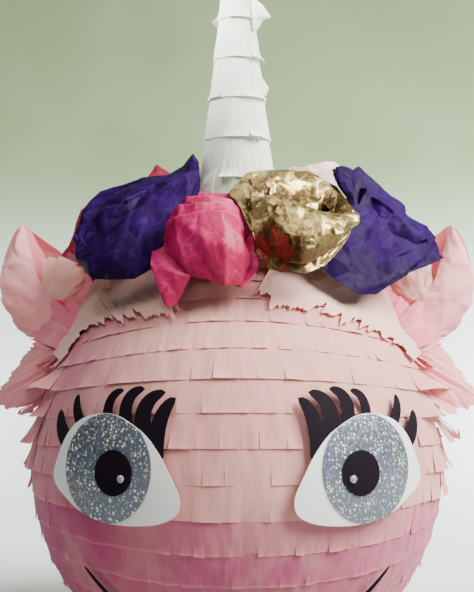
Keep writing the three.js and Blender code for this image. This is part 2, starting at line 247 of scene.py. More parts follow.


# Glazed tissue: mottled dye, paler along its creases, with a painted highlight along its rim and painted
# shade deeper towards its foot.
# "edge" is 0 at a sheet's foot and 1 at its rim.
def tissueFinish(name, base, shade, worn, shine=0.42, gloss=0.45, fold=62.0):
    f = Finish(name, Roughness=shine)
    f.put(Specular_IOR_Level=gloss)
    place, edge = f.place(), f.attribute("edge", "Fac")
    cloud = f.noise(place, 34.0, 4.0, 0.6)
    fibre = f.noise(place, 420.0, 3.0, 0.6)
    folds = f.crease(place, fold)
    small = f.crease(place.shifted((0.3, 0.1, 0.2)), fold * 2.4)
    colour = f.mix(cloud.ramp(0.34, 0.68), shade, base)
    colour = f.mix(folds.ramp(0.035, 0.0) * cloud.ramp(0.4, 0.6) * 0.35, colour, worn)
    colour = f.mix(small.ramp(0.03, 0.0) * 0.16 + fibre.ramp(0.45, 0.75) * 0.06, colour, worn)
    # painted shade: darker towards the sheet's foot, down among the other sheets
    colour = f.mix(edge.ramp(0.6, 0.05) * 0.7, colour, shade)
    # painted highlight: paler along the rim
    colour = f.mix(edge.ramp(0.965, 0.995) * 0.35, colour, worn)
    f.put(Base_Color=colour, Roughness=cloud.ramp(0.3, 0.7, shine - 0.08, shine + 0.14))
    first = f.bump(f.facets(place.scaled((1.0, 1.0, 0.6)), 0.015, 0.008), 1.0, 0.5)
    second = f.bump(f.facets(place.shifted((0.3, 0.1, 0.2)), 0.007, 0.004), 1.0, 0.2, first)
    third = f.bump(folds, 0.002, 0.5, second)
    f.bump(fibre, 0.00012, 0.5, third)
    return f.material


def foilFinish(name):
    f = Finish(name, Metallic=0.92, Roughness=0.34)
    place, edge = f.place(), f.attribute("edge", "Fac")
    cloud = f.noise(place, 26.0, 3.0, 0.5)
    fine = f.noise(place, 260.0, 4.0, 0.6)
    folds = f.crease(place, 70.0)
    small = f.crease(place.shifted((0.3, 0.1, 0.2)), 170.0)
    colour = f.mix(cloud.ramp(0.35, 0.65), (0.22, 0.13, 0.045), (0.46, 0.35, 0.13))
    colour = f.mix(folds.ramp(0.03, 0.0) * 0.4, colour, (0.74, 0.62, 0.34))
    # painted shade: dark brown towards the sheet's foot, down among the other sheets
    colour = f.mix(edge.ramp(0.7, 0.1) * 0.85, colour, (0.10, 0.045, 0.02))
    f.put(Base_Color=colour, Roughness=fine.ramp(0.3, 0.7, 0.26, 0.44))
    first = f.bump(f.facets(place.scaled((1.0, 1.0, 0.6)), 0.015, 0.008), 1.0, 0.6)
    second = f.bump(f.facets(place.shifted((0.3, 0.1, 0.2)), 0.007, 0.004), 1.0, 0.3, first)
    third = f.bump(small, 0.0008, 0.4, second)
    f.bump(fine, 0.0001, 0.3, third)
    return f.material


def cardFinish(name, base, shade, rough, fibreDepth=0.00006, gloss=0.4):
    f = Finish(name, Roughness=rough)
    f.put(Specular_IOR_Level=gloss)
    place = f.place()
    fibre = f.noise(place, 900.0, 4.0, 0.65)
    cloud = f.noise(place, 30.0, 2.0, 0.5)
    f.put(Base_Color=f.mix(cloud.ramp(0.3, 0.7) * 0.6 + fibre.ramp(0.4, 0.7) * 0.2, base, shade),
          Roughness=cloud.ramp(0.3, 0.7, rough - 0.06, rough + 0.08))
    f.bump(fibre, fibreDepth, 0.6)
    return f.material


# Silver film struck with round dots, each of which shines its own way, over soft bands of colour; a random
# share of the dots is painted bright and glows faintly, as painted glints.
def holographicFinish(name):
    f = Finish(name, Metallic=0.4, Roughness=0.3, Coat_Weight=0.4, Coat_Roughness=0.12)
    place = f.place()
    dots = f.node("ShaderNodeTexVoronoi", {"feature": "F1"},
                  {"Vector": place, "Scale": 400.0, "Randomness": 0.8})
    tone = dots.other("Color")
    band = f.noise(place.shifted((0.7, 0.2, 0.4)), 24.0, 2.0, 0.5, 0.6)
    patch = f.noise(place, 40.0, 2.0, 0.5)
    ground = f.node("ShaderNodeValToRGB", {"stops": [
        (0.30, (0.20, 0.14, 0.40)), (0.40, (0.16, 0.36, 0.48)), (0.48, (0.32, 0.50, 0.36)),
        (0.56, (0.58, 0.54, 0.34)), (0.66, (0.48, 0.24, 0.52)), (0.78, (0.18, 0.40, 0.46))]},
        {"Fac": band + (tone.part(0) - 0.5) * 0.26})
    inDot = dots.ramp(0.46, 0.30)
    # painted glints: a random share of the dots, more of them in patches
    lit = (tone.part(1) + patch * 0.7).ramp(1.02, 1.14) * inDot
    colour = f.mix(inDot * 0.85, (0.14, 0.16, 0.20), ground)
    colour = f.mix(lit, colour, f.mix(0.35, (0.95, 0.97, 0.93), ground))
    # the painted glints also glow faintly, though the film is no lamp
    f.put(Base_Color=colour, Roughness=tone.part(2).ramp(0.0, 1.0, 0.16, 0.5, "LINEAR"),
          Emission_Color=f.mix(lit, (0, 0, 0), (0.5, 0.55, 0.5)), Emission_Strength=0.22)
    f.bump(tone.part(0) * inDot, 0.0005, 0.8)
    return f.material


def pulpFinish(name):
    f = Finish(name, Roughness=0.9)
    place = f.place()
    scraps = f.node("ShaderNodeTexVoronoi", {"feature": "F1", "distance": "CHEBYCHEV"},
                    {"Vector": place, "Scale": 24.0})
    edges = f.node("ShaderNodeTexVoronoi", {"feature": "DISTANCE_TO_EDGE"},
                   {"Vector": place, "Scale": 24.0})
    print1 = f.noise(place.scaled((1.0, 1.0, 14.0)), 60.0, 3.0, 0.7)
    fine = f.noise(place, 500.0, 3.0, 0.6)
    colour = f.mix(scraps.other("Color").part(0), (0.50, 0.46, 0.38), (0.66, 0.62, 0.54))
    colour = f.mix(print1.ramp(0.55, 0.66) * 0.35, colour, (0.20, 0.19, 0.18))
    colour = f.mix(edges.ramp(0.03, 0.0) * 0.5, colour, (0.40, 0.33, 0.24))
    f.put(Base_Color=colour, Roughness=fine.ramp(0.3, 0.7, 0.8, 0.95))
    first = f.bump(edges.ramp(0.0, 0.05), 0.0006, 0.8)
    f.bump(fine, 0.0003, 0.5, first)
    return f.material


def brownCardFinish(name):
    f = Finish(name, Roughness=0.85)
    place = f.place()
    fibre = f.noise(place, 600.0, 4.0, 0.65)
    flute = f.noise(place.scaled((260.0, 6.0, 260.0)), 1.0, 2.0, 0.5)
    colour = f.mix(fibre.ramp(0.35, 0.7), (0.30, 0.19, 0.10), (0.47, 0.33, 0.20))
    f.put(Base_Color=f.mix(flute.ramp(0.5, 0.7) * 0.3, colour, (0.22, 0.14, 0.08)),
          Roughness=fibre.ramp(0.3, 0.7, 0.78, 0.92))
    first = f.bump(flute, 0.0004, 0.4)
    f.bump(fibre, 0.0001, 0.5, first)
    return f.material


def tapeFinish(name):
    f = Finish(name, Roughness=0.9)
    place = f.place()
    across = (place.part(0) * 2400.0).maths("SINE")
    along = (place.part(2) * 2400.0).maths("SINE")
    weave = across * along
    f.put(Base_Color=f.mix(weave.ramp(-0.6, 0.6), (0.55, 0.51, 0.43), (0.76, 0.73, 0.66)),
          Roughness=weave.ramp(-1.0, 1.0, 0.8, 0.95))
    f.bump(weave, 0.0002, 0.8)
    return f.material


def wireFinish(name):
    f = Finish(name, Metallic=1.0, Roughness=0.35)
    place = f.place()
    spangle = f.noise(place, 700.0, 3.0, 0.6)
    drawn = f.noise(place.scaled((2200.0, 2200.0, 60.0)), 1.0, 2.0, 0.5)
    f.put(Base_Color=f.mix(spangle.ramp(0.35, 0.7), (0.40, 0.41, 0.42), (0.62, 0.63, 0.64)),
          Roughness=spangle.ramp(0.3, 0.7, 0.28, 0.48))
    f.bump(drawn, 0.00005, 0.5)
    return f.material


def gemFinish(name):
    f = Finish(name, Roughness=0.02, Transmission_Weight=0.85, IOR=1.6)
    place = f.place()
    glint = f.noise(place, 500.0, 1.0, 0.5)
    f.put(Base_Color=f.mix(glint.ramp(0.4, 0.6), (0.86, 0.90, 0.95), (1.0, 1.0, 1.0)),
          Coat_Weight=1.0)
    return f.material


finishes = {
    # the deep pink is the pinker paper, made darker to paint the shade on the lower and left parts of the
    # head
    "pink_crepe": crepeFinish("pinkCrepe", (0.92, 0.40, 0.33), (0.52, 0.055, 0.17), (0.88, 0.44, 0.31), 1.0,
                              0.35),
    "ear_crepe": crepeFinish("earCrepe", (0.94, 0.40, 0.40), (0.84, 0.17, 0.26), (0.94, 0.48, 0.44), 0.8),
    "lining_crepe": crepeFinish("liningCrepe", (0.90, 0.48, 0.40), (0.86, 0.32, 0.33), (0.88, 0.50, 0.38),
                                0.8),
    "white_crepe": crepeFinish("whiteCrepe", (0.95, 0.95, 0.80), (0.92, 0.92, 0.76), (0.94, 0.92, 0.78),
                               0.8, 0.35),
    "pink_tissue": tissueFinish("pinkTissue", (0.50, 0.003, 0.110), (0.30, 0.001, 0.045),
                                (0.70, 0.06, 0.25), 0.5, 0.35),
    "magenta_tissue": tissueFinish("magentaTissue", (0.46, 0.012, 0.07), (0.28, 0.003, 0.03),
                                   (0.62, 0.10, 0.20)),
    "violet_tissue": tissueFinish("violetTissue", (0.022, 0.002, 0.072), (0.009, 0.001, 0.030),
                                  (0.05, 0.02, 0.14), 0.58, 0.07, 50.0),
    "blush_tissue": tissueFinish("blushTissue", (0.86, 0.62, 0.56), (0.78, 0.50, 0.46), (0.92, 0.78, 0.72),
                                 0.55),
    "gold_foil_tissue": foilFinish("goldFoilTissue"),
    "white_card": cardFinish("whiteCard", (0.84, 0.86, 0.85), (0.76, 0.79, 0.79), 0.5),
    "black_card": cardFinish("blackCard", (0.004, 0.001, 0.005), (0.008, 0.004, 0.010), 0.75, gloss=0.12),
    "holographic_film": holographicFinish("holographicFilm"),
    "crystal": gemFinish("rhinestone"),
    "papier_mache": pulpFinish("papierMache"),
    "cardboard": brownCardFinish("brownCard"),
    "cotton_tape": tapeFinish("cottonTape"),
    "wire": wireFinish("galvanisedWire"),
}
print("finishes:", len(finishes))


# Making pieces.
def newObject(name, mesh, material=None):
    made = bpy.data.objects.new(name, mesh)
    bpy.context.scene.collection.objects.link(made)
    if material:
        mesh.materials.append(material)
    return made


def shapedObject(name, shape, material):
    mesh = bpy.data.meshes.new(name)
    shape.to_mesh(mesh)
    shape.free()
    return newObject(name, mesh, material)


# The modifiers' result as a plain mesh.
def settled(piece):
    graph = bpy.context.evaluated_depsgraph_get()
    mesh = bpy.data.meshes.new_from_object(piece.evaluated_get(graph), preserve_all_data_layers=True,
                                           depsgraph=graph)
    old = piece.data
    piece.modifiers.clear()
    material = old.materials[0] if old.materials else None
    mesh.materials.clear()
    mesh.materials.append(material)
    for face in mesh.polygons:
        face.material_index = 0
    piece.data = mesh
    if isinstance(old, bpy.types.Mesh):
        bpy.data.meshes.remove(old)
    mesh.name = piece.name
    return piece


def thicken(piece, thickness, offset=1.0):
    solid = piece.modifiers.new("thickness", "SOLIDIFY")
    solid.thickness, solid.offset = thickness, offset
    return settled(piece)


def creased(piece, angle):  # smooth faces, with sharp edges where the sheet is folded
    shape = bmesh.new()
    shape.from_mesh(piece.data)
    for face in shape.faces:
        face.smooth = True
    for edge in shape.edges:
        edge.smooth = len(edge.link_faces) == 2 and edge.calc_face_angle(0) < math.radians(angle)
    shape.to_mesh(piece.data)
    shape.free()
    return piece


# A sheet of paper from a function of (u, v), both from 0 to 1; size is its real width and height.
def sheetPiece(name, columns, rows, place, size, material, thickness=0.3 * mm, tint=0.5, number=0,
               sharp=32):
    mesh = bpy.data.meshes.new(name)
    spots, papers = [], []
    for j in range(rows + 1):
        for i in range(columns + 1):
            u, v = i / columns, j / rows
            spots.append(place(u, v))
            papers.append((u * size[0], v * size[1], number))
    across = columns + 1
    faces = []
    for j in range(rows):
        for i in range(columns):
            a, b = j * across + i, j * across + i + 1
            faces.append((a, b, b + across, a + across))
    mesh.from_pydata([tuple(p) for p in spots], [], faces)
    paper = mesh.attributes.new("paper", "FLOAT_VECTOR", "POINT")
    paper.data.foreach_set("vector", [x for p in papers for x in p])
    mesh.attributes.new("tint", "FLOAT", "POINT").data.foreach_set("value", [tint] * len(spots))
    mesh.attributes.new("edge", "FLOAT", "POINT").data.foreach_set(
        "value", [j / rows for j in range(rows + 1) for i in range(across)])
    piece = newObject(name, mesh, material)
    if thickness:
        thicken(piece, thickness, 0.0)
    return creased(piece, sharp)


# Crumpled tissue: layers of flat facets of random size, (facet mm, depth mm, how much longer they are
# up the sheet than across it).
class Crumple:
    def __init__(self, seed, layers, extent=(900, 260)):
        dice = random.Random(seed)
        self.layers = []
        for size, depth, long in layers:
            across, up = int(extent[0] / size) + 3, int(extent[1] / size / long) + 3
            spots = [((i - 1 + dice.uniform(-0.42, 0.42)) * size,
                      (j - 1 + dice.uniform(-0.42, 0.42)) * size * long,
                      dice.uniform(-depth, depth)) for j in range(up) for i in range(across)]
            faces = []
            for j in range(up - 1):
                for i in range(across - 1):
                    a, b, c, d = (j * across + i, j * across + i + 1, (j + 1) * across + i + 1,
                                  (j + 1) * across + i)
                    faces += [(a, b, c), (a, c, d)] if dice.random() < 0.5 else [(a, b, d), (b, c, d)]
            self.layers.append(BVHTree.FromPolygons(spots, faces))

    def at(self, a, b):
        total = 0
        for layer in self.layers:
            hit = layer.ray_cast(Vector((a, b, 90)), Vector((0, 0, -1)))[0]
            total += hit.z if hit else 0
        return total


# One sheet of a rose, from its foot to its rim, both given by their corners (mm from the head's centre).
def wrapPiece(name, rim, foot, bulge, middle, material, folds, number):
    rims, feet = [Vector(p) for p in rim], [Vector(p) for p in foot]
    steps = [0.0]
    for i in range(len(rims) - 1):
        steps.append(steps[-1] + ((rims[i + 1] - rims[i]).length + (feet[i + 1] - feet[i]).length) / 2 + 1)
    length = steps[-1]
    tall = sum((q - p).length for p, q in zip(feet, rims)) / len(rims)
    middle = Vector(middle)

    def spot(u, v):
        along = u * length
        i = max(k for k in range(len(steps) - 1) if steps[k] <= along + 1e-9)
        f = (along - steps[i]) / (steps[i + 1] - steps[i])
        p, q = feet[i].lerp(feet[i + 1], f), rims[i].lerp(rims[i + 1], f)
        at = p.lerp(q, v)
        out = (at - middle).normalized()
        a, b = along + number * 90, v * tall + number * 23
        at += out * (bulge * math.sin(math.pi * v) ** 0.8 + folds.at(a, b) * lerp(1.0, 0.45, abs(v * 2 - 1)))
        at += (q - p).normalized() * folds.at(a + 40, b + 60) * 0.35 * v
        return headCentre + at * mm

    return sheetPiece(name, max(int(length / 1.5), 8), max(int(tall / 1.5), 6), spot, (length, tall),
                      material, 0.35 * mm, number=number, sharp=30)


def joinedPieces(name, pieces):  # several islands of one piece
    shape = bmesh.new()
    for piece in pieces:
        shape.from_mesh(piece.data)
    made = shapedObject(name, shape, pieces[0].data.materials[0])
    for piece in pieces:
        bpy.data.objects.remove(piece)
    return made


def turnedPiece(name, profile, sides, matrix, material):
    shape = bmesh.new()
    rings = []
    for r, z in profile:
        if r < 1e-9:
            rings.append([shape.verts.new(matrix @ Vector((0, 0, z)))] * sides)
        else:
            rings.append([shape.verts.new(matrix @ Vector((r * math.sin(math.tau * i / sides),
                                                           -r * math.cos(math.tau * i / sides), z)))
                          for i in range(sides)])
    for low, high in zip(rings, rings[1:]):
        for i in range(sides):
            j = (i + 1) % sides
            corners = []
            for corner in (low[i], low[j], high[j], high[i]):
                if corner not in corners:
                    corners.append(corner)
            if len(corners) > 2:
                shape.faces.new(corners)
    bmesh.ops.recalc_face_normals(shape, faces=shape.faces)
    return creased(shapedObject(name, shape, material), 40)


def belongs(piece, body, slotName, *nodes):
    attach(piece, body)
    if nodes:
        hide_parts(*nodes)
    return piece


# Camera, light and backdrop.
view = {"distance": 0.800, "height": 0.060, "pitch": 6.78, "lens": 49.44}
lens = bpy.data.cameras.new("camera")
lens.sensor_fit, lens.sensor_height, lens.lens = "VERTICAL", 36, view["lens"]
camera = bpy.data.objects.new("camera", lens)
camera.location = headCentre + Vector((0, -view["distance"], view["height"]))
camera.rotation_euler = (math.radians(90 + view["pitch"]), 0, 0)
bpy.context.scene.collection.objects.link(camera)
bpy.context.scene.camera = camera

lamps = {
    "key": {"at": (1.35, -0.72, 1.55), "size": 1.5, "power": 162, "colour": (1.0, 0.97, 0.93)},
    "fill": {"at": (-1.0, -1.4, 0.1), "size": 1.2, "power": 0.4, "colour": (1.0, 0.55, 0.85)},
    "top": {"at": (-0.45, -1.1, 1.95), "size": 1.2, "power": 19, "colour": (1.0, 0.97, 0.95)},
    "horn": {"at": (-1.0, -0.75, 0.95), "size": 0.12, "power": 0.8, "colour": (0.97, 1.0, 0.96),
             "to": (0, -0.05, 0.63), "spread": 15},
    "wallRight": {"at": (1.3, 0.7, 0.25), "size": 0.5, "power": 52, "colour": (0.93, 1.0, 1.0),
                  "to": (0.6, 1.6, 0.1)},
    "wallLeft": {"at": (-1.3, 0.7, 0.25), "size": 0.5, "power": 22, "colour": (0.93, 1.0, 1.0),
                 "to": (-0.5, 1.6, 0.1)},
}
for name, lamp in lamps.items():
    light = bpy.data.lights.new(name, "AREA")
    light.shape, light.size, light.energy = "DISK", lamp["size"], lamp["power"]
    light.color, light.spread = lamp["colour"], math.radians(lamp.get("spread", 180))
    holder = bpy.data.objects.new(name, light)
    holder.location = lamp["at"]
    aim = Vector(lamp.get("to", (0, 0, 0.25))) - holder.location
    holder.rotation_euler = aim.to_track_quat("-Z", "Y").to_euler()
    bpy.context.scene.collection.objects.link(holder)
world = bpy.data.worlds.new("world")
world.use_nodes = True
world.node_tree.nodes["Background"].inputs["Color"].default_value = (0.80, 0.85, 0.86, 1)
world.node_tree.nodes["Background"].inputs["Strength"].default_value = 0.03
bpy.context.scene.world = world


def backdropFinish():
    f = Finish("paleWall", Roughness=0.9)
    place = f.place()
    rise = place.part(2)
    soft = f.noise(place, 3.0, 2.0, 0.5)
    under = place.part(1).ramp(0.26, 0.02)
    # painted shade: the wall darkens from pale near the floor to deep green at its top
    wall = f.mix(rise.ramp(0.05, 0.95), (0.86, 0.93, 0.92), (0.17, 0.23, 0.11))
    # painted shade: the floor turns dark grey under and in front of the head, which keeps bounce light off
    # its underside
    wall = f.mix(under * 0.85, wall, (0.24, 0.24, 0.24))
    f.put(Base_Color=f.mix(soft.ramp(0.3, 0.7) * 0.06, wall, (0.6, 0.66, 0.55)))
    return f.material


def sweptBackdrop():
    shape = bmesh.new()
    path = [(-3.0, 0.0), (0.9, 0.0)]
    path += [(0.9 + 0.7 * math.sin(math.radians(a)), 0.7 - 0.7 * math.cos(math.radians(a)))
             for a in range(5, 91, 5)]
    path.append((1.6, 3.2))
    rows = [[shape.verts.new((x, y, z)) for x in (-3.5, 3.5)] for y, z in path]
    for low, high in zip(rows, rows[1:]):
        shape.faces.new((low[0], low[1], high[1], high[0]))
    for face in shape.faces:
        face.smooth = True
    return shapedObject("backdrop", shape, backdropFinish())


sweptBackdrop()
print("camera, lights and backdrop")


# Crepe rows: cut fringe grown by one node tree, on the ball or on the horn.
hornSize = {"lean": 8.0, "sunk": 12 * mm, "length": 312 * mm, "foot": 45 * mm, "tip": 9 * mm, "flare": 1.18}
hornWay = outward(0, 90 - hornSize["lean"])
hornPlace = facing(hornWay, headCentre + hornWay * (headRadius - hornSize["sunk"]), (0, 1, 0))


def hornRadius(z):
    t = z / hornSize["length"]
    return lerp(hornSize["foot"], hornSize["tip"], 1 - max(1 - t, 0) ** hornSize["flare"])


# How unevenly strips are cut, laid and curled: shares of a tooth for slit, gap and lean, the rest in mm.
uneven = {
    "slit": 0.55, "gap": 0.07, "lean": 0.04, "laid": 2.2, "askew": 3.4, "wave": 2.4, "slant": 2.4,
    "nibble": 2.2, "twist": 1.6, "cup": 3.5, "curl": 1.3, "ruck": 2.6, "fine": 0.9, "step": 0.5,
}


def fringeTree(name, onHorn, columns=8, rowsDown=10):
    tree = bpy.data.node_groups.new(name, "GeometryNodeTree")
    tree.interface.new_socket("Geometry", in_out="OUTPUT", socket_type="NodeSocketGeometry")
    for kind, labels in (
        ("Float", ("Low", "High", "First", "Sweep", "Per mm", "Tooth", "Top Lift", "Tip Lift", "Slit",
                   "Ragged", "Flare", "Slope", "Bow", "Deep", "Side Flare")),
        ("Int", ("Teeth", "Per Strip", "Seed")),
        ("Material", ("Paper",)),
    ):
        for label in labels:
            tree.interface.new_socket(label, in_out="INPUT", socket_type=f"NodeSocket{kind}")
    g = Graph(tree)
    source = g.node("NodeGroupInput")

    def given(label):
        return source.other(label)

    def chance(identity, salt):
        return g.node("FunctionNodeRandomValue", {"data_type": "FLOAT"},
                      {2: 0.0, 3: 1.0, 7: identity, 8: given("Seed") + salt}, 1)

    def lerpLink(low, high, factor):
        return low + (high - low) * factor

    grid = g.node("GeometryNodeMeshGrid", None, {"Size X": 1.0, "Size Y": 1.0, "Vertices X": columns,
                                                 "Vertices Y": rowsDown})
    points = g.node("GeometryNodePoints", None, {"Count": given("Teeth")})
    teeth = g.node("GeometryNodeInstanceOnPoints", None, {"Points": points, "Instance": grid})
    teeth = g.node("GeometryNodeStoreNamedAttribute", {"data_type": "FLOAT", "domain": "INSTANCE"},
                   {"Geometry": teeth, "Name": "tooth", "Value": g.node("GeometryNodeInputIndex")})
    teeth = g.node("GeometryNodeRealizeInstances", None, {"Geometry": teeth})
    tooth = g.node("GeometryNodeInputNamedAttribute", {"data_type": "FLOAT"}, {"Name": "tooth"})
    spot = g.node("GeometryNodeInputPosition")
    u, v = spot.part(0) + 0.5, 0.5 - spot.part(1)
    cut = ((v - given("Slit")) / (1 - given("Slit"))).most(0.0)

    # the slits, shared by neighbours, and a hair's gap that opens towards the tips
    def slitShift(number):
        inside = number.least(1.0).least(given("Teeth") - number).most(0.0)
        return (chance(number, 3) - 0.5) * uneven["slit"] * inside

    shift = slitShift(tooth) * (1 - u) + slitShift(tooth + 1) * u
    border = (tooth + u).maths("ROUND")
    own = ((v - lerpLink(given("Slit"), 0.95, chance(border, 53) ** 1.5)) * 7).most(0.0).least(1.0)
    gap = (chance(border, 5) ** 4.0) * uneven["gap"] + 0.004
    lean = (chance(tooth, 7) - 0.5) * uneven["lean"]
    edge = tooth + u + shift + (0.5 - u) * gap * own + lean * cut * cut * own
    strip = (tooth / given("Per Strip")).floor()
    along = (edge - strip * given("Per Strip")) / given("Per Strip") - 0.5
    turn = given("First") + given("Sweep") * edge / given("Teeth")

    # how far down each point lies: strips are laid a little high, low or askew, and tips are ragged
    off = (chance(strip, 11) - 0.5) * uneven["laid"] + (chance(strip, 13) - 0.5) * uneven["askew"] * along
    wave = g.noise(g.joined(edge * 0.37, strip * 3.1, given("Seed") * 1.7), 1.0, 2.0, 0.5) - 0.5
    length = (chance(tooth, 17) - 0.5) * 2 * given("Ragged") * cut
    slant = (chance(tooth, 19) - 0.5) * uneven["slant"] * (u - 0.5) * cut
    frayed = g.joined(edge * (8.0 if onHorn else 3.5), tooth * 5.3, 1.5)
    nibble = (g.noise(frayed, 1.0, 3.0, 0.75) - 0.5) * given("Ragged") * uneven["nibble"]
    down = v * (given("High") - given("Low")) + (
        off + wave * uneven["wave"] + length + slant + nibble * (v ** 3.0)
        + given("Slope") * along) * given("Per mm")
    height = given("High") - down
    if not onHorn:  # the rows sag towards the ball's waist on either side of the face
        side = turn.maths("RADIANS").maths("SINE")
        keep = height.maths("ABSOLUTE").ramp(78.0, 58.0)
        back = turn.maths("RADIANS").maths("COSINE").ramp(-0.95, -0.6)
        height = height * (1 - given("Bow") * side * side * keep * back)

    # how far off the surface, in mm
    turnRad = turn.maths("RADIANS")
    aside = turnRad.maths("SINE").maths("ABSOLUTE")
    flare = (chance(tooth, 23) ** 3.0) * given("Flare") * cut * cut
    flare = flare + (chance(strip, 59).ramp(0.0, 0.6) * aside.ramp(0.80, 0.97) * given("Side Flare")
                     * (0.15 + chance(tooth, 61) * 0.85) * (v ** 2.3))
    twist = (chance(tooth, 29) - 0.5) * uneven["twist"] * (u - 0.5) * cut
    cup = ((u - 0.5) * (u - 0.5) - 0.08) * (chance(tooth, 31) - 0.3) * uneven["cup"] * cut
    curl = (chance(tooth, 37) - 0.45) * uneven["curl"] * (cut ** 3.0)
    broad = g.joined(turn * (0.35 if onHorn else 0.30), height * 0.12, 0.5)
    ruck = (g.noise(broad, 1.0, 2.0, 0.5) - 0.5) * uneven["ruck"]
    close = g.joined(turn * (0.35 if onHorn else 1.3), height * 0.3, given("Seed") * 2.3)
    fine = (g.noise(close, 1.0, 2.0, 0.5) - 0.5) * uneven["fine"]
    step = (chance(strip, 41) - 0.5) * uneven["step"]
    lift = (given("Top Lift") + (given("Tip Lift") - given("Top Lift")) * v + step * v
            + flare + twist + cup + curl + ruck + fine * v)
    if onHorn:
        t = height / (hornSize["length"] / mm)
        radius = (hornSize["tip"] + (hornSize["foot"] - hornSize["tip"])
                  * ((1 - t).most(0.0) ** hornSize["flare"])) + lift.most(0.5) * mm
        place = g.joined(turnRad.maths("SINE") * radius, -(turnRad.maths("COSINE") * radius), height * mm)
    else:
        rise = height.maths("RADIANS")
        flat = rise.maths("COSINE")
        front = turnRad.maths("COSINE") * flat
        lift = lift.most(0.4).least(7.2 + front.ramp(0.66, 0.5) * 14)  # flat under the eyes and the smile
        radius = lift * mm + headRadius
        place = g.joined(turnRad.maths("SINE") * flat * radius, -(turnRad.maths("COSINE") * flat * radius),
                         rise.maths("SINE") * radius + headCentre.z)
    teeth = g.node("GeometryNodeStoreNamedAttribute", {"data_type": "FLOAT_VECTOR", "domain": "POINT"},
                   {"Geometry": teeth, "Name": "paper",
                    "Value": g.joined(edge * given("Tooth"), v * 44.0, strip + given("Seed"))})
    shade = chance(strip, 43) * 0.22 + chance(tooth, 47) * 0.03 + given("Deep") * 0.75
    if not onHorn:  # pinker paper round the left, partly a real change of paper and partly painted shade on the shaded left side; a little pinker round the right
        shade = (shade + (-turnRad.maths("SINE")).ramp(0.35, 0.85) * 0.45
                 + turnRad.maths("SINE").ramp(0.6, 0.95) * 0.12).least(1.0)
    teeth = g.node("GeometryNodeStoreNamedAttribute", {"data_type": "FLOAT", "domain": "POINT"},
                   {"Geometry": teeth, "Name": "tint", "Value": shade})
    teeth = g.node("GeometryNodeSetPosition", None, {"Geometry": teeth, "Position": place})
    teeth = g.node("GeometryNodeMergeByDistance", None, {"Geometry": teeth, "Distance": 0.015 * mm})
    teeth = g.node("GeometryNodeSetShadeSmooth", None, {"Geometry": teeth})
    teeth = g.node("GeometryNodeSetMaterial", None, {"Geometry": teeth, "Material": given("Paper")})
    g.node("NodeGroupOutput", None, [teeth])
    return tree


ballFringe = fringeTree("ballFringe", False)
hornFringe = fringeTree("hornFringe", True, 11, 12)


def fringePiece(name, tree, thickness, **inputs):
    piece = newObject(name, bpy.data.meshes.new(name), inputs["paper"])
    grow = piece.modifiers.new("fringe", "NODES")
    grow.node_group = tree
    for item in tree.interface.items_tree:
        key = item.name.replace(" ", "")
        key = key[0].lower() + key[1:]
        if item.in_out == "INPUT" and key in inputs:
            grow[item.identifier] = inputs[key]
    settled(piece)
    return creased(thicken(piece, thickness, 1.0), 50)


crepe = {
    "rows": 16, "firstEdge": 60.9, "pitch": 7.9, "width": 12.6, "topLift": 2.3, "tipLift": 3.15,
    "thickness": 0.15 * mm, "bow": 0.2, "sideFlare": 32.0, "strip": 150,
}
cuts = {  # how each part of the head is cut: tooth and raggedness in mm
    "brow": {"tooth": 9.0, "slit": 0.82, "ragged": 1.5, "flare": 1.0},
    "face": {"tooth": 17.0, "slit": 0.62, "ragged": 0.9, "flare": 1.2},
    "chin": {"tooth": 9.5, "slit": 0.80, "ragged": 1.4, "flare": 1.6},
}
flap = {"halfWidth": 17.0, "top": 29.3, "bottom": 5.6, "slit": 0.35, "rows": (5, 6, 7)}
degreesPerMm = 1 / math.radians(1) / (headRadius / mm)


def rowEdge(k):  # the latitude of a row's lower edge
    return crepe["firstEdge"] - crepe["pitch"] * k


def ballRow(name, k, first, sweep, high=None, low=None, **changes):
    edge = rowEdge(k)
    low = edge if low is None else low
    high = edge + crepe["width"] if high is None else high
    middle = math.cos(math.radians((low + high) / 2)) * headRadius / mm
    cutStyle = cuts["brow"] if k < 5 else cuts["face"] if k < 10 else cuts["chin"]
    wide = cutStyle["tooth"]
    teeth = max(int(math.radians(sweep) * middle / wide), 2)
    values = {
        "low": low, "high": high, "first": first, "sweep": sweep, "perMm": degreesPerMm, "tooth": wide,
        "teeth": teeth, "perStrip": int(crepe["strip"] / wide) + (k * 5) % 4, "topLift": crepe["topLift"],
        "tipLift": crepe["tipLift"], "slit": cutStyle["slit"], "ragged": cutStyle["ragged"],
        "flare": cutStyle["flare"], "slope": 0.0, "bow": crepe["bow"], "seed": 100 + k * 17,
        "deep": 0.22 * smooth(2, 9, k) + 0.78 * smooth(9, 10.6, k),  # deeper row by row from row 2 down as painted shade; the pinker paper starts at row 11
        "sideFlare": crepe["sideFlare"] * smooth(3, 5, k) * (1 - smooth(7, 10, k)) + 1.0,
        "paper": finishes["pink_crepe"],
    }
    values.update(changes)
    return fringePiece(name, ballFringe, crepe["thickness"],
                       **{key: float(value) if key not in ("teeth", "perStrip", "seed", "paper") else value
                          for key, value in values.items()})


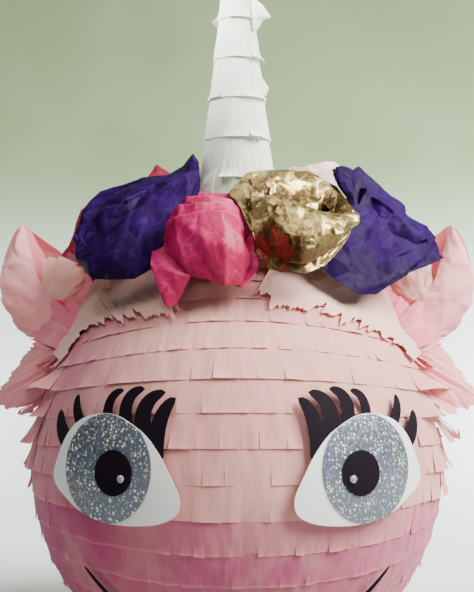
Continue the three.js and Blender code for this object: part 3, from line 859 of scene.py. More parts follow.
around = flap["halfWidth"] + 0.5
for k in range(crepe["rows"]):
    node = f"crepe_row_{k + 1:02d}"
    if k in flap["rows"]:
        made = ballRow(f"crepeRow{k + 1:02d}", k, 180 + around, 360 - 2 * around)
    elif k == 4:  # over the flap this row stops short, so that the flap can swing up
        made = joinedPieces("crepeRow05", [
            ballRow("crepeRow05round", k, 180 + around, 360 - 2 * around),
            ballRow("crepeRow05over", k, 180 - around, 2 * around, low=flap["top"] + 2.3, flare=0.5,
                    ragged=0.8, tipLift=4.0, seed=77)])
    elif k == 8:  # and this one starts below it
        made = joinedPieces("crepeRow09", [
            ballRow("crepeRow09round", k, 180 + around, 360 - 2 * around),
            ballRow("crepeRow09under", k, 180 - around, 2 * around, high=flap["bottom"] - 1.0, seed=78,
                    slit=0.4)])
    elif k == 0:
        made = ballRow("crepeRow01", k, 7.0, 360, high=83.0, slit=0.85)  # gathered under the roses
    else:
        made = ballRow(f"crepeRow{k + 1:02d}", k, 11.0 * k, 360)
    belongs(made, "head", "pink_crepe", node)
for i, k in enumerate(flap["rows"]):
    reach = flap["halfWidth"] - flap["slit"]
    edge = rowEdge(k)
    top = min(edge + crepe["width"], flap["top"] - flap["slit"] - 0.2)
    made = ballRow(f"flapCrepe{i + 1}", k, 180 - reach, 2 * reach, high=top,
                   low=max(edge, flap["bottom"] + flap["slit"] + 0.3), flare=1.5, perStrip=40, ragged=0.7)
    belongs(made, "filling_flap", "pink_crepe", f"flap_crepe_{i + 1}")
print("crepe rows")

tier = {
    "count": 8, "exposed": 38.0, "width": 50.0, "tooth": 17, "topLift": 0.9, "tipLift": 2.7, "slit": 0.86,
    "ragged": 2.6, "flare": 5.0, "slope": 3.0,
}
hornTears = {  # strips that have come loose at their edge
    1: {"rim": [(15, -68, 433), (24, -68, 425), (32, -67, 413), (25, -67, 410), (19, -67, 401)],
        "foot": [(11, -70, 433), (13, -71, 425), (14, -72, 416), (15, -72, 409), (15, -71, 400)]},
    3: {"rim": [(24, -56, 356), (30, -54, 348), (27, -56, 340)],
        "foot": [(18, -64, 358), (19, -64, 349), (20, -64, 340)]},
    5: {"rim": [(-31, -66, 256), (-35, -64, 247), (-36, -62, 238), (-31, -68, 228)],
        "foot": [(-18, -76, 264), (-21, -76, 253), (-23, -76, 242), (-22, -76, 230)]},
}
for i in range(tier["count"]):
    low = hornSize["length"] / mm - tier["exposed"] * (i + 1) + 2
    high = min(low + tier["width"], hornSize["length"] / mm - 1)
    girth = math.tau * hornRadius(low * mm) / mm
    teeth = max(int(girth / tier["tooth"]), 5)
    made = fringePiece(
        f"hornTier{i + 1}", hornFringe, 0.3 * mm, low=low, high=high,
        first=150.0 + 47 * i, sweep=366.0, bow=0.0, deep=0.2, sideFlare=0.0, perMm=1.0,
        tooth=girth / teeth, teeth=teeth, perStrip=teeth, topLift=tier["topLift"], tipLift=tier["tipLift"],
        slit=tier["slit"], ragged=tier["ragged"], flare=tier["flare"], slope=tier["slope"] * (-1) ** i,
        seed=500 + 13 * i, paper=finishes["white_crepe"])
    made.data.transform(hornPlace)
    if i in hornTears:
        tear = hornTears[i]
        torn = wrapPiece("hornTear", tear["rim"], tear["foot"], 1, (0, -60, tear["rim"][0][2] - 20),
                         finishes["white_crepe"], Crumple(61 + i, [(11, 1.2, 1.3), (5, 0.5, 1.0)]), i)
        made = joinedPieces(f"hornTier{i + 1}", [made, torn])
    belongs(made, "head", "white_crepe", f"horn_tier_{i + 1}")
steps = 30
profile = [(hornRadius(hornSize["length"] * j / steps), hornSize["length"] * j / steps)
           for j in range(1, steps + 1)]
tip = hornSize["tip"]
profile += [(tip * math.cos(math.radians(a)), hornSize["length"] + tip * 0.55 * math.sin(math.radians(a)))
            for a in (20, 40, 60, 75)] + [(0, hornSize["length"] + tip * 0.55)]
inner = [(max(r - 1.6 * mm, 0), z - 1.6 * mm) for r, z in reversed(profile)]
belongs(turnedPiece("hornCone", profile + inner + profile[:1], 48, hornPlace,
                    finishes["white_crepe"]), "head", "cardboard", "horn_cone")
print("horn")


# The papier-mache head, its flap, its foot and its loop.
def ballGrid(name, azimuths, latitudes, keep, thickness, material, inset=0.0):
    shape = bmesh.new()
    spots = {}

    def spot(i, j):
        if (i, j) not in spots:
            place = onHead(azimuths[i], latitudes[j])
            bump = noise.noise(place * 22) * 0.5 * mm
            spots[i, j] = shape.verts.new(onHead(azimuths[i], latitudes[j], bump - 0.5 * mm - inset))
        return spots[i, j]

    for i in range(len(azimuths) - 1):
        for j in range(len(latitudes) - 1):
            if keep((azimuths[i] + azimuths[i + 1]) / 2, (latitudes[j] + latitudes[j + 1]) / 2):
                shape.faces.new([spot(i, j), spot(i + 1, j), spot(i + 1, j + 1), spot(i, j + 1)])
    bmesh.ops.remove_doubles(shape, verts=shape.verts, dist=0.01 * mm)
    bmesh.ops.dissolve_degenerate(shape, dist=0.01 * mm, edges=shape.edges)
    return creased(thicken(shapedObject(name, shape, material), thickness, -1.0), 45)


def steppedRange(low, high, step):
    count = max(int(round((high - low) / step)), 1)
    return [low + (high - low) * i / count for i in range(count + 1)]


window = flap["halfWidth"]
azimuths = steppedRange(180 - window, 180 + window, 2.5) + steppedRange(180 + window, 540 - window, 3.5)[1:]
footLatitude = -math.degrees(math.acos(85 * mm / headRadius))
latitudes = (steppedRange(footLatitude, flap["bottom"], 3.5)
             + steppedRange(flap["bottom"], flap["top"], 2.5)[1:] + steppedRange(flap["top"], 89.6, 3.5)[1:])


def aroundWindow(azimuth, latitude):
    inside = abs((azimuth - 180 + 180) % 360 - 180) < window
    return not (inside and flap["bottom"] < latitude < flap["top"])


ball = ballGrid("papierMacheHead", azimuths, latitudes, aroundWindow, 3.4 * mm, finishes["papier_mache"])
footZ = shellBox[0][2]
wall = 3.4 * mm
floorProfile = [(0, footZ + wall), (84 * mm, footZ + wall), (84 * mm, footZ), (0, footZ)]
floorPiece = turnedPiece("headFloor", floorProfile, 96, Matrix(), finishes["papier_mache"])
crown = turnedPiece("headCrown", [(0, 189.4 * mm), (2 * mm, 189.35 * mm), (2 * mm, 186.2 * mm),
                                  (0, 186.2 * mm)],
                    48, Matrix.Translation(headCentre), finishes["papier_mache"])
belongs(joinedPieces("papierMacheShell", [ball, floorPiece, crown]), "head", "papier_mache",
        "papier_mache_head")
edgeIn = window - flap["slit"]
belongs(ballGrid("fillFlap", steppedRange(180 - edgeIn, 180 + edgeIn, 2.5),
                 steppedRange(flap["bottom"] + flap["slit"], flap["top"] - flap["slit"], 2.5),
                 lambda a, b: True, 3.4 * mm, finishes["papier_mache"]),
        "filling_flap", "papier_mache", "fill_flap")

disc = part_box("base_disc")
rim = disc[1][0] - 0.4 * mm
discProfile = [(0, 0), (rim - 0.4 * mm, 0), (rim, 0.4 * mm), (rim, 2.6 * mm), (rim - 0.4 * mm, 3 * mm),
               (0, 3 * mm)]
belongs(turnedPiece("baseDisc", discProfile, 128, Matrix(), finishes["cardboard"]), "head", "cardboard",
        "base_disc")
for node, slotName in (("flap_stop_rim", "cardboard"), ("hanging_anchor_disc", "cardboard"),
                       ("flap_hinge_tape", "cotton_tape")):
    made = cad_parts[node]
    made.data.materials.clear()
    made.data.materials.append(finishes[slotName])


def tubePiece(name, points, radius, material):
    curve = bpy.data.curves.new(name, "CURVE")
    curve.dimensions, curve.bevel_depth, curve.bevel_resolution = "3D", radius, 6
    curve.use_fill_caps = True
    line = curve.splines.new("POLY")
    line.points.add(len(points) - 1)
    for point, place in zip(line.points, points):
        point.co = (*place, 1)
    holder = bpy.data.objects.new(name, curve)
    bpy.context.scene.collection.objects.link(holder)
    graph = bpy.context.evaluated_depsgraph_get()
    mesh = bpy.data.meshes.new_from_object(holder.evaluated_get(graph), depsgraph=graph)
    bpy.data.objects.remove(holder)
    mesh.materials.clear()
    return creased(newObject(name, mesh, material), 50)


loop = {"half": 12, "rise": 34, "foot": 14, "under": 11.7, "corner": 3, "wire": 1.5 * mm, "back": 12}


def loopPoints():
    crownPoint = headCentre + outward(180, 90 - loop["back"]) * headRadius
    half, rise, under, corner = loop["half"], loop["rise"], -loop["under"], loop["corner"]
    side = [(-half - loop["foot"], under), (-half - corner, under)]
    for a in range(15, 91, 15):
        t = math.radians(a)
        side.append((-half - corner + corner * math.sin(t), under + corner - corner * math.cos(t)))
    side.append((-half, rise - half))
    arch = [(-half * math.cos(math.radians(a)), rise - half + half * math.sin(math.radians(a)))
            for a in range(10, 171, 10)]
    line = side + arch + [(-x, z) for x, z in reversed(side)]
    return [crownPoint + Vector((-x * mm, 0, z * mm)) for x, z in line]


belongs(tubePiece("hangingLoop", loopPoints(), loop["wire"], finishes["wire"]), "head", "wire",
        "hanging_loop")
print("head, flap, foot and loop")


# Tissue roses.
# The heart of a rose, rolled from one strip: it winds out, and each turn is wider. Local +Z is the
# way it looks.
def budPiece(name, place, rose, material, folds):
    dice = random.Random(rose["seed"])
    radius, height, turns = rose["radius"], rose["height"], rose["turns"]
    corners = [dice.uniform(0.86, 1.12) for _ in range(int(turns * 6) + 3)]
    highs = [dice.uniform(-0.07, 0.07) for _ in range(int(turns * 6) + 3)]
    begin = dice.random() * math.tau

    def spot(u, v):
        turn = turns * u
        angle = math.tau * turn + begin
        k = turn * 6
        i, f = int(k), k % 1
        corner, high = lerp(corners[i], corners[i + 1], f), lerp(highs[i], highs[i + 1], f)
        rimR = radius * lerp(0.12, 1.0, u ** 0.8) * corner
        rimZ = height * (lerp(0.40, 0.46, u) + high)
        footR, footZ = radius * lerp(0.05, 0.55, u), height * -0.5
        r = lerp(footR, rimR, 1 - (1 - v) ** 1.8) + radius * 0.08 * u * math.sin(math.pi * v)
        z = lerp(footZ, rimZ, v)
        lip = smooth(0.93, 1.0, v)
        r += 2.2 * lip * (1 if i % 3 else -1)
        spread = angle * radius * 0.6
        r += folds.at(spread, v * height) * smooth(0.0, 0.3, v) * lerp(0.5, 1.0, u)
        z += folds.at(spread * 0.9 + 7, v * height + 90) * 0.5 * smooth(0.2, 0.6, v)
        return place @ (Vector((r * math.cos(angle), r * math.sin(angle), z)) * mm)

    return sheetPiece(name, int(turns * 130), int(height / 1.7), spot, (radius * turns * 4, height), material,
                      0.35 * mm, sharp=30)


roses = {
    "rose_pink": {
        "middle": (-22, -106, 186), "way": (-0.2, -0.55, 0.81), "radius": 37, "height": 50, "turns": 2.3,
        "seed": 4, "slot": "pink_tissue", "layers": [(30, 4.5, 1.5), (13, 1.7, 1.3), (5, 0.35, 1.0)],
        "wraps": [
            ("collar", 3, [
                (-57, -152, 130), (-70, -146, 163), (-71, -134, 182), (-69, -114, 210),
                (-61, -100, 227), (-38, -90, 240), (-10, -92, 235), (3, -100, 233),
                (12, -112, 210), (21, -128, 183), (17, -142, 160), (7, -152, 144),
            ], [
                (-49, -154, 129), (-37, -158, 152), (-48, -146, 168), (-56, -130, 183),
                (-45, -112, 190), (-32, -106, 196), (-15, -106, 198), (-6, -108, 193),
                (-2, -116, 181), (-1, -128, 166), (-1, -142, 153), (-4, -154, 146),
            ]),
            ("front", 5, [
                (-63, -132, 191), (-52, -150, 202), (-30, -158, 206), (-12, -156, 206),
                (-1, -144, 204), (3, -134, 186),
            ], [
                (-55, -142, 172), (-38, -156, 153), (-23, -162, 149), (-9, -164, 145),
                (4, -156, 145), (7, -140, 162),
            ]),
            ("second", 4, [
                (-60, -126, 207), (-48, -140, 214), (-28, -146, 215), (-10, -144, 214),
                (0, -132, 214),
            ], [
                (-58, -136, 177), (-42, -146, 171), (-24, -150, 169), (-8, -150, 169),
                (6, -138, 175),
            ]),
            ("third", 3, [
                (-55, -118, 217), (-41, -128, 222), (-23, -132, 223), (-4, -122, 223),
                (1, -116, 219),
            ], [
                (-56, -126, 188), (-41, -136, 184), (-22, -140, 181), (-4, -132, 182),
                (5, -124, 188),
            ]),
            ("tail", 2, [
                (-38, -150, 154), (-27, -156, 151), (-20, -158, 148), (-11, -158, 145),
            ], [
                (-34, -150, 169), (-24, -155, 166), (-16, -156, 162), (-10, -156, 153),
            ]),
        ],
    },
    "rose_gold": {
        "middle": (52, -98, 200), "way": (0.05, -0.45, 0.89), "radius": 39, "height": 54, "turns": 3.0,
        "seed": 9, "slot": "gold_foil_tissue", "layers": [(24, 5.0, 1.3), (11, 1.5, 1.0)],
        "wraps": [
            ("collar", 4, [
                (14, -142, 174), (13, -132, 194), (3, -112, 219), (-8, -97, 235), (6, -82, 259),
                (32, -76, 262), (67, -76, 259), (90, -86, 244), (102, -112, 215), (95, -132, 191),
                (72, -150, 162),
            ], [
                (29, -152, 168), (19, -138, 187), (17, -120, 208), (18, -110, 221),
                (20, -104, 232), (36, -98, 237), (60, -98, 237), (77, -102, 231), (84, -120, 210),
                (79, -142, 187), (60, -158, 161),
            ]),
            ("inner", 2, [
                (16, -130, 202), (12, -116, 229), (27, -100, 248), (47, -94, 255), (67, -93, 255),
                (83, -100, 241), (87, -112, 232),
            ], [
                (25, -146, 180), (23, -130, 204), (33, -112, 223), (48, -108, 226),
                (64, -106, 227), (76, -112, 221), (81, -124, 212),
            ]),
            ("heart", 2, [
                (29, -116, 233), (33, -108, 242), (49, -104, 245), (66, -102, 243),
                (77, -108, 233), (69, -116, 225), (54, -120, 227),
            ], [
                (34, -126, 205), (37, -118, 217), (48, -112, 223), (63, -110, 224),
                (71, -116, 216), (66, -126, 207), (51, -130, 204),
            ]),
            ("front", 10, [
                (16, -128, 223), (34, -138, 225), (49, -150, 213), (67, -155, 205),
                (85, -144, 206), (100, -124, 213),
            ], [
                (21, -150, 173), (36, -162, 164), (50, -167, 161), (62, -164, 164),
                (74, -152, 174), (90, -134, 192),
            ]),
            ("flounce", 2, [
                (19, -148, 171), (22, -152, 161), (34, -158, 154), (44, -162, 155),
                (55, -162, 154), (66, -157, 159), (70, -150, 168),
            ], [
                (27, -146, 180), (31, -152, 174), (39, -156, 172), (46, -158, 169),
                (54, -158, 169), (63, -154, 172), (68, -148, 179),
            ]),
        ],
    },
    "rose_violet_left": {
        "middle": (-92, -60, 204), "way": (-0.6, -0.08, 0.79), "radius": 38, "height": 54, "turns": 2.3,
        "seed": 15, "slot": "violet_tissue", "layers": [(28, 5.0, 1.8), (12, 1.8, 1.5), (5, 0.4, 1.0)],
        "wraps": [
            ("front", 8, [
                (-142, -84, 202), (-130, -102, 187), (-115, -114, 192), (-98, -120, 206),
                (-81, -120, 220), (-62, -114, 236), (-46, -102, 250), (-36, -88, 259),
            ], [
                (-139, -88, 189), (-135, -98, 174), (-123, -112, 157), (-104, -124, 154),
                (-85, -132, 154), (-69, -136, 163), (-58, -134, 182), (-44, -126, 205),
            ]),
            ("back", 3, [
                (-144, -80, 203), (-140, -70, 226), (-135, -62, 237), (-128, -56, 246),
                (-108, -52, 253), (-89, -50, 262), (-66, -52, 264), (-52, -52, 271),
                (-42, -55, 283), (-36, -62, 274), (-37, -76, 261),
            ], [
                (-131, -96, 182), (-125, -96, 187), (-118, -96, 191), (-112, -96, 196),
                (-99, -96, 204), (-83, -96, 216), (-68, -94, 230), (-57, -92, 239),
                (-49, -88, 247), (-42, -84, 253), (-38, -80, 256),
            ]),
            ("middle", 2, [
                (-135, -92, 195), (-131, -86, 208), (-124, -80, 223), (-99, -80, 230),
                (-81, -80, 243), (-59, -78, 253), (-43, -74, 263),
            ], [
                (-131, -98, 182), (-122, -100, 184), (-111, -102, 190), (-91, -104, 203),
                (-74, -102, 217), (-57, -98, 233), (-44, -90, 247),
            ]),
        ],
    },
    "rose_violet_right": {
        "middle": (132, -46, 198), "way": (0.64, 0.02, 0.77), "radius": 46, "height": 56, "turns": 2.4,
        "seed": 22, "slot": "violet_tissue", "layers": [(24, 5.5, 1.2), (11, 2.2, 1.2), (5, 0.6, 1.0)],
        "wraps": [
            ("outside", 13, [
                (93, -66, 261), (103, -54, 271), (114, -48, 267), (118, -45, 271), (125, -44, 265),
                (144, -40, 250), (160, -40, 237), (161, -42, 230), (180, -46, 217),
                (179, -52, 206), (179, -64, 185),
            ], [
                (90, -94, 242), (97, -102, 229), (105, -106, 216), (95, -112, 197),
                (82, -116, 179), (71, -118, 165), (83, -120, 155), (102, -118, 144),
                (119, -106, 144), (147, -86, 162), (178, -66, 184),
            ]),
            ("fold", 3, [
                (155, -66, 206), (165, -60, 208), (173, -56, 208), (180, -52, 210),
            ], [
                (148, -84, 184), (155, -80, 183), (166, -72, 184), (178, -64, 188),
            ]),
        ],
    },
    "rose_magenta": {
        "middle": (-112, 14, 190), "way": (-0.62, 0.1, 0.78), "radius": 47, "height": 54, "turns": 2.5,
        "seed": 31, "slot": "magenta_tissue", "layers": [(24, 4.5, 1.5), (10, 1.8, 1.2), (5, 0.4, 1.0)],
        "wraps": [
            ("left", 4, [
                (-162, -62, 186), (-156, -56, 197), (-152, -48, 212), (-149, -38, 233),
                (-144, -36, 236),
            ], [
                (-142, -76, 175), (-140, -72, 184), (-137, -66, 194), (-137, -56, 213),
                (-134, -46, 227),
            ]),
            ("corner", 2, [
                (-88, -22, 268), (-80, -20, 282), (-67, -22, 273),
            ], [
                (-88, -28, 255), (-78, -28, 254), (-68, -28, 255),
            ]),
        ],
    },
    "rose_blush": {
        "middle": (84, 12, 208), "way": (0.4, 0.12, 0.9), "radius": 45, "height": 56, "turns": 2.5,
        "seed": 40, "slot": "blush_tissue", "layers": [(20, 4.0, 1.2), (9, 1.6, 1.0), (4.5, 0.4, 1.0)],
        "wraps": [
            ("crown", 3, [
                (49, -10, 280), (55, -14, 282), (63, -18, 280), (69, -20, 283), (84, -22, 285),
                (95, -20, 285), (101, -18, 282), (100, -16, 277),
            ], [
                (51, -10, 263), (56, -16, 260), (62, -20, 258), (69, -24, 256), (81, -26, 256),
                (91, -24, 256), (99, -20, 257), (103, -14, 260),
            ]),
        ],
    },
}
for node, rose in roses.items():
    words = node.split("_")
    name = words[0] + "".join(w.capitalize() for w in words[1:])
    folds = Crumple(rose["seed"], rose["layers"])
    sheets = [budPiece(name + "Bud", facing(rose["way"], headCentre + Vector(rose["middle"]) * mm), rose,
                       finishes[rose["slot"]], folds)]
    for number, (part, bulge, rim, foot) in enumerate(rose["wraps"]):
        sheets.append(wrapPiece(name + part.capitalize(), rim, foot, bulge, rose["middle"],
                                finishes[rose["slot"]], folds, number))
    belongs(joinedPieces(name, sheets), "head", rose["slot"], node)
print("roses")


# Ears.
def triangle(x):
    return abs((x % 1) * 2 - 1) * 2 - 1


# The point f of the way from p[1] to p[2], on a smooth line through the four.
def between(p, f):
    return 0.5 * ((2 * p[1]) + (p[2] - p[0]) * f + (2 * p[0] - 5 * p[1] + 4 * p[2] - p[3]) * f * f
                  + (3 * p[1] - p[0] - 3 * p[2] + p[3]) * f ** 3)


def splinePoint(points, t):
    count = len(points) - 1
    x = min(max(t, 0), 1) * count
    i = min(int(x), count - 1)
    return between([Vector(points[min(max(i + k, 0), count)]) for k in (-1, 0, 1, 2)], x - i)


# A sheet between two lines, pleated where it is gathered. Points are (across, forward, up) in mm.
def fanPiece(name, side, near, far, pleats, depth, size, material, bow=0.0, number=0, tint=0.5, torn=0.0,
             columns=72, rows=26, phase=0.0, thickness=0.35, hug=0.0, fray=0.12):
    folds = Crumple(number * 7 + 3, [(18, 2.6, 1.4), (8, 1.1, 1.2), (4, 0.25, 1.0)], (260, 160))

    def spot(u, v):
        p, q = splinePoint(near, u), splinePoint(far, u)
        tear = noise.noise(Vector((u * 20, number, 0.5))) + fray * noise.noise(Vector((u * 75, number, 4.5)))
        ragged = torn * tear * v * v
        at = p.lerp(q, v * (1 + ragged))
        tangent = (splinePoint(far, min(u + 0.02, 1)) - splinePoint(far, max(u - 0.02, 0)))
        tangent = tangent.normalized() if tangent.length > 1e-6 else Vector((1, 0, 0))
        normal = (q - p).cross(tangent)
        normal = normal.normalized() if normal.length > 1e-6 else Vector((0, -1, 0))
        if normal.y > 0:
            normal = -normal
        ply = triangle(u * pleats + phase + 0.25 * noise.noise(Vector((u * 6, v * 2, number))))
        at += normal * (ply * depth * smooth(0, 0.15, v) * (1 - 0.35 * v) + bow * math.sin(math.pi * v))
        at += normal * folds.at(u * size[0], v * size[1])
        drawn = (800 + at.y) / 780  # what stands further forward is drawn in, to keep the outline's shape
        at = Vector((at.x * drawn * side, at.y, 60 + (at.z - 60) * drawn))
        if hug:  # laid on the fringe
            laid = hug + ply * 0.4 + folds.at(u * size[0], v * size[1]) * 0.5
            at = at.normalized() * lerp(max(at.length, hug), laid, smooth(0.3, 0.85, v))
        return headCentre + at * mm

    return sheetPiece(name, columns, rows, spot, size, material, thickness * mm, tint=tint, number=number,
                      sharp=28)


earLines = {
    "foldLow": [(176, -30, 108), (170, -36, 130), (178, -34, 149), (190, -30, 165), (197, -22, 184),
                (203, -16, 204), (207, -12, 219)],
    "outer": [(196, -26, 112), (207, -22, 118), (222, -24, 140), (229, -22, 162), (227, -18, 182),
              (220, -12, 204), (209, -9, 221)],
}
browStart = {"left": [(84, -66, 186), (98, -50, 184)], "right": [(40, -84, 190), (80, -55, 188)]}
browEdge = {
    "left": [(56, -142, 145), (71, -139, 138), (92, -131, 136), (113, -118, 133), (132, -102, 128),
             (147, -85, 122), (160, -84, 105), (169, -87, 89)],
    "right": [(20, -133, 160), (46, -141, 146), (73, -134, 143), (104, -126, 132), (124, -117, 125),
              (144, -104, 114), (161, -86, 104), (170, -86, 90)],
}
for side, label in ((-1, "left"), (1, "right")):
    named = label.capitalize()

    def make(part, near, far, **more):
        return fanPiece(f"ear{part}{named}", side, near, far, **more)

    # the back of the ear: card covered in crepe, from its root up to the long top edge
    back = make("Back", [(188, -14, 116), (172, -6, 112), (158, 0, 126), (144, 2, 148), (134, 4, 166)],
                [(228, -16, 168), (224, -10, 198), (209, -7, 222), (184, 0, 204), (150, 4, 182),
                 (134, 5, 174)],
                pleats=3, depth=1.2, size=(120, 90), material=finishes["ear_crepe"], bow=-3, number=1,
                tint=0.85, thickness=1.6)
    # the front fold: a lobe that turns forward along the outer edge, and the pale lining beside it
    lobe = make("Lobe", earLines["foldLow"], earLines["outer"], pleats=1.5, depth=0.9, size=(130, 50),
                material=finishes["ear_crepe"], bow=7, number=2, tint=0.2, torn=0.05, columns=110,
                fray=0.4)
    lining = make("Lining", [(190, -28, 163), (181, -31, 152), (170, -28, 147), (161, -22, 145)],
                  [(189, -19, 188), (178, -15, 190), (166, -11, 190), (152, -8, 181), (143, -8, 172),
                   (148, -12, 164), (155, -16, 152)],
                  pleats=2.2, depth=0.7, size=(55, 45), material=finishes["lining_crepe"], bow=4, number=3,
                  tint=0.2, torn=0.12, columns=60)
    # a strip laid from the brow up over the root of the ear
    bridge = make("Bridge", browStart[label] + [(118, -40, 180), (136, -34, 170), (149, -34, 146),
                                                (160, -38, 126), (170, -42, 110), (176, -44, 99)],
                  browEdge[label],
                  pleats=2.0, depth=0.5, size=(130, 43), material=finishes["lining_crepe"], bow=4, number=8,
                  tint=0.1, torn=0.15, columns=220, rows=40, thickness=0.2, hug=197.0, fray=0.8)
    belongs(joinedPieces(f"earCard{named}", [back, lobe]), "head", "ear_crepe", f"ear_card_{label}")
    belongs(joinedPieces(f"earLining{named}", [lining, bridge]), "head", "ear_crepe", f"ear_lining_{label}")
    # the gathered crepe round the root: two ruffles above and a pleated skirt below
    gather = [(136, -34, 152), (141, -48, 133), (150, -56, 120), (158, -60, 110), (165, -62, 98),
              (171, -62, 85), (179, -60, 70)]
    # painted shade: the inner ruffle takes the deepest pink, for the shade in the folds between the lining
    # and the head
    ruffleIn = make("RuffleIn", gather[:5], [(140, -14, 172), (156, -18, 158), (164, -24, 149),
                                             (176, -30, 146), (184, -34, 130), (196, -34, 110)],
                    pleats=3.2, depth=3.6, size=(80, 30), material=finishes["ear_crepe"], bow=3, number=4,
                    tint=1.0, torn=0.25, columns=130)
    ruffleMid = make("RuffleMid", gather[2:6], [(170, -36, 138), (186, -36, 122), (197, -34, 108),
                                                (203, -30, 94)],
                     pleats=2.4, depth=3.0, size=(80, 30), material=finishes["ear_crepe"], bow=3, number=5,
                     tint=0.7, torn=0.15, columns=130, phase=0.4)
    skirt = make("Skirt", [(166, -62, 98), (171, -62, 88), (176, -62, 76), (180, -60, 66)],
                 [(200, -36, 100), (216, -30, 76), (226, -26, 60), (225, -28, 50), (214, -38, 46),
                  (200, -44, 52), (194, -46, 62)],
                 pleats=2.2, depth=2.4, size=(110, 45), material=finishes["ear_crepe"], bow=5, number=6,
                 tint=0.45, torn=0.10, columns=160, phase=0.2, fray=0.35)
    behind = make("SkirtBack", [(186, -20, 100), (190, -10, 96), (188, 6, 98), (180, 16, 106)],
                  [(212, -22, 78), (215, -6, 66), (212, 12, 68), (198, 28, 84), (184, 34, 104)],
                  pleats=4.5, depth=3.6, size=(110, 40), material=finishes["ear_crepe"], bow=4, number=7,
                  tint=0.5, torn=0.2, columns=120)
    belongs(joinedPieces(f"earRuffle{named}", [ruffleIn, ruffleMid, skirt, behind]), "head", "ear_crepe",
            f"ear_ruffle_{label}")
print("ears")


# Eyes, lashes and smile: card cut flat and bent over the crepe.
cardLayers = {"lashes": 198.3, "white": 199.35, "iris": 200.4, "pupil": 201.35, "gem": 201.9, "smile": 198.3}
eye = {
    "azimuth": 27.7, "irisAt": (-9, 3), "irisRadius": 41.2, "pupilRadius": 17, "gemAt": (8, -4),
    "gemRadius": 3.2,
    "white": [(-67, -8), (-60, 14), (-50, 30), (-36, 40), (-18, 44), (-2, 43), (12, 37), (26, 28), (38, 14),
              (47, -2), (53, -17), (50, -29), (36, -36), (15, -38.5), (-8, -38), (-28, -33.5), (-48, -24)],
}
lashFans = {
    "outer": {"root": [(-52, 22), (-42, 14), (-26, 30), (-34, 37)], "lashes": [
        [(-48, 19), (-66, 29), (-66.6, 46.4), 7.5],
        [(-36, 34), (-50, 47), (-47.1, 58.8), 5]]},
    "inner": {"root": [(-18, 34), (-18, 24), (6, 20), (28, 6), (36, 12)], "lashes": [
        [(-10, 36), (-16, 60), (0.6, 61.8), 4.6],
        [(8, 33), (-1, 61), (19.1, 62.9), 5.8],
        [(24, 25), (14, 56), (36.7, 60.4), 7],
        [(34, 12), (32, 47), (45.3, 56.1), 6.6]]},
}


def roundOutline(points, steps=6):  # a closed smooth outline
    count = len(points)
    line = []
    for i in range(count):
        p = [Vector(points[(i + k) % count]) for k in (-1, 0, 1, 2)]
        line += [between(p, j / steps) for j in range(steps)]
    return line


def lashSides(foot, bend, tip, half, steps=14):
    left, right = [], []
    a, b, c = (Vector(p) for p in (foot, bend, tip))
    for i in range(steps + 1):
        t = i / steps
        at = a * (1 - t) ** 2 + b * 2 * t * (1 - t) + c * t * t
        way = ((b - a) * (1 - t) + (c - b) * t).normalized()
        w = half * math.sqrt(max(1 - t ** 2.4, 0))
        left.append(at + Vector((-way.y, way.x)) * w)
        if i < steps:
            right.append(at - Vector((-way.y, way.x)) * w)
    return left + right[::-1]


def fanOutline(fan):
    line = []
    for lash in fan["lashes"]:
        line += lashSides(*lash)
    return line + [Vector(p) for p in reversed(fan["root"][1:-1])]


# Cuts card to an outline in the plane that touches the ball there, and bends it round the ball.
def cardPiece(name, outline, radius, thickness, azimuth, mirror, material, step=5.0):
    shape = bmesh.new()
    corners = [shape.verts.new((p[0] * mirror, p[1], 0)) for p in outline]
    face = shape.faces.new(corners)
    if face.normal.z < 0 or mirror < 0:
        shape.normal_update()
    bmesh.ops.triangulate(shape, faces=shape.faces[:])
    spread = [v.co.copy() for v in shape.verts]
    for axis in (0, 1):
        low, high = min(p[axis] for p in spread), max(p[axis] for p in spread)
        x = math.floor(low / step) * step
        while x < high:
            point, normal = Vector(), Vector()
            point[axis], normal[axis] = x, 1
            bmesh.ops.bisect_plane(shape, geom=shape.verts[:] + shape.edges[:] + shape.faces[:], dist=1e-4,
                                   plane_co=point, plane_no=normal)
            x += step
    bmesh.ops.recalc_face_normals(shape, faces=shape.faces)
    if shape.faces[0].normal.z < 0:
        bmesh.ops.reverse_faces(shape, faces=shape.faces[:])
    frameOf = facing(outward(azimuth, 0), headCentre)
    for vert in shape.verts:
        x, y = vert.co.x, vert.co.y
        deep = math.sqrt(max(radius ** 2 - x * x - y * y, 0))
        vert.co = frameOf @ (Vector((x, y, deep)) * mm)
    return creased(thicken(shapedObject(name, shape, material), thickness * mm, 1.0), 40)


# The outline of the iris: a circle, kept inside the white.
def clippedCircle(centre, radius, fence, margin, count=96):
    line = []
    for i in range(count):
        way = Vector((math.cos(math.tau * i / count), math.sin(math.tau * i / count)))
        reach = radius
        for a, b in zip(fence, fence[1:] + fence[:1]):
            side = b - a
            across = way.x * side.y - way.y * side.x
            if abs(across) < 1e-9:
                continue
            t = ((a.x - centre.x) * side.y - (a.y - centre.y) * side.x) / across
            s = ((a.x - centre.x) * way.y - (a.y - centre.y) * way.x) / across
            if t > 0 and -0.001 <= s <= 1.001:
                reach = min(reach, t - margin)
        line.append(centre + way * reach)
    return line


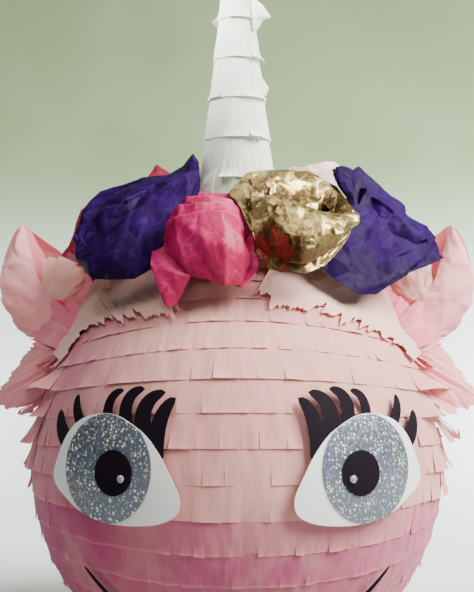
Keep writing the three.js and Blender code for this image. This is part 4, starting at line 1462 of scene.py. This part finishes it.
def gemPiece(name, place, radius, material):
    shape = bmesh.new()
    rings = []
    for r, z, shift in ((0.9, 0.0, 0), (1.0, 0.22, 0.5), (0.78, 0.5, 0), (0.5, 0.68, 0.5)):
        rings.append([shape.verts.new(place @ Vector((radius * r * math.cos(math.tau * (i + shift) / 8),
                                                      radius * r * math.sin(math.tau * (i + shift) / 8),
                                                      radius * z))) for i in range(8)])
    for low, high in zip(rings, rings[1:]):
        for i in range(8):
            j = (i + 1) % 8
            if (low is rings[0]) or (low is rings[2]):
                shape.faces.new((low[i], low[j], high[i]))
                shape.faces.new((low[j], high[j], high[i]))
            else:
                shape.faces.new((low[i], high[j], high[i]))
                shape.faces.new((low[i], low[j], high[j]))
    shape.faces.new(rings[-1])
    shape.faces.new(rings[0][::-1])
    bmesh.ops.recalc_face_normals(shape, faces=shape.faces)
    return shapedObject(name, shape, material)


for label, mirror in (("left", 1), ("right", -1)):
    azimuth = -mirror * eye["azimuth"]
    named = label.capitalize()
    fence = roundOutline(eye["white"])
    pupil = [Vector((eye["pupilRadius"] * math.cos(math.tau * i / 80), eye["pupilRadius"]
                     * math.sin(math.tau * i / 80))) for i in range(80)]
    cards = [(f"lashes{fan.capitalize()}", f"lashes_{fan}", fanOutline(lashFans[fan]), "lashes", 0.55,
              "black_card") for fan in lashFans]
    cards += [
        ("eyeWhite", "eye_white", fence, "white", 0.5, "white_card"),
        ("iris", "iris", clippedCircle(Vector(eye["irisAt"]), eye["irisRadius"], fence, 0.3), "iris", 0.4,
         "holographic_film"),
        ("pupil", "pupil", pupil, "pupil", 0.4, "black_card"),
    ]
    for part, node, outline, layer, thickness, slot in cards:  # thickness in mm
        made = cardPiece(part + named, outline, cardLayers[layer], thickness, azimuth, mirror, finishes[slot])
        belongs(made, "head", slot, f"{node}_{label}")
    x, y = eye["gemAt"]
    deep = math.sqrt(cardLayers["gem"] ** 2 - x * x - y * y)
    at = facing(outward(azimuth, 0), headCentre) @ (Vector((x * mirror, y, deep)) * mm)
    made = gemPiece(f"gem{named}", facing(at - headCentre, at), eye["gemRadius"] * mm, finishes["crystal"])
    belongs(made, "head", "crystal", f"gem_{label}")

smile = {"end": 41, "endLatitude": -22.5, "drop": 27, "half": 4.2, "lift": cardLayers["smile"]}


def smileSpot(u, v):
    w = u * 2 - 1
    latitude = smile["endLatitude"] - smile["drop"] * (1 - w * w)
    half = smile["half"] * math.sqrt(max(1 - w * w, 0)) + 0.35
    slope = math.atan2(2 * smile["drop"] * w, smile["end"] * math.cos(math.radians(latitude)))
    off = (v * 2 - 1) * half * degreesPerMm
    return onHead(smile["end"] * w - off * math.sin(slope) / math.cos(math.radians(latitude)),
                  latitude + off * math.cos(slope), smile["lift"] * mm - headRadius)


belongs(sheetPiece("smile", 120, 4, smileSpot, (260, 8), finishes["black_card"], 0.5 * mm, sharp=50), "head",
        "black_card", "smile")
print("eyes and smile")
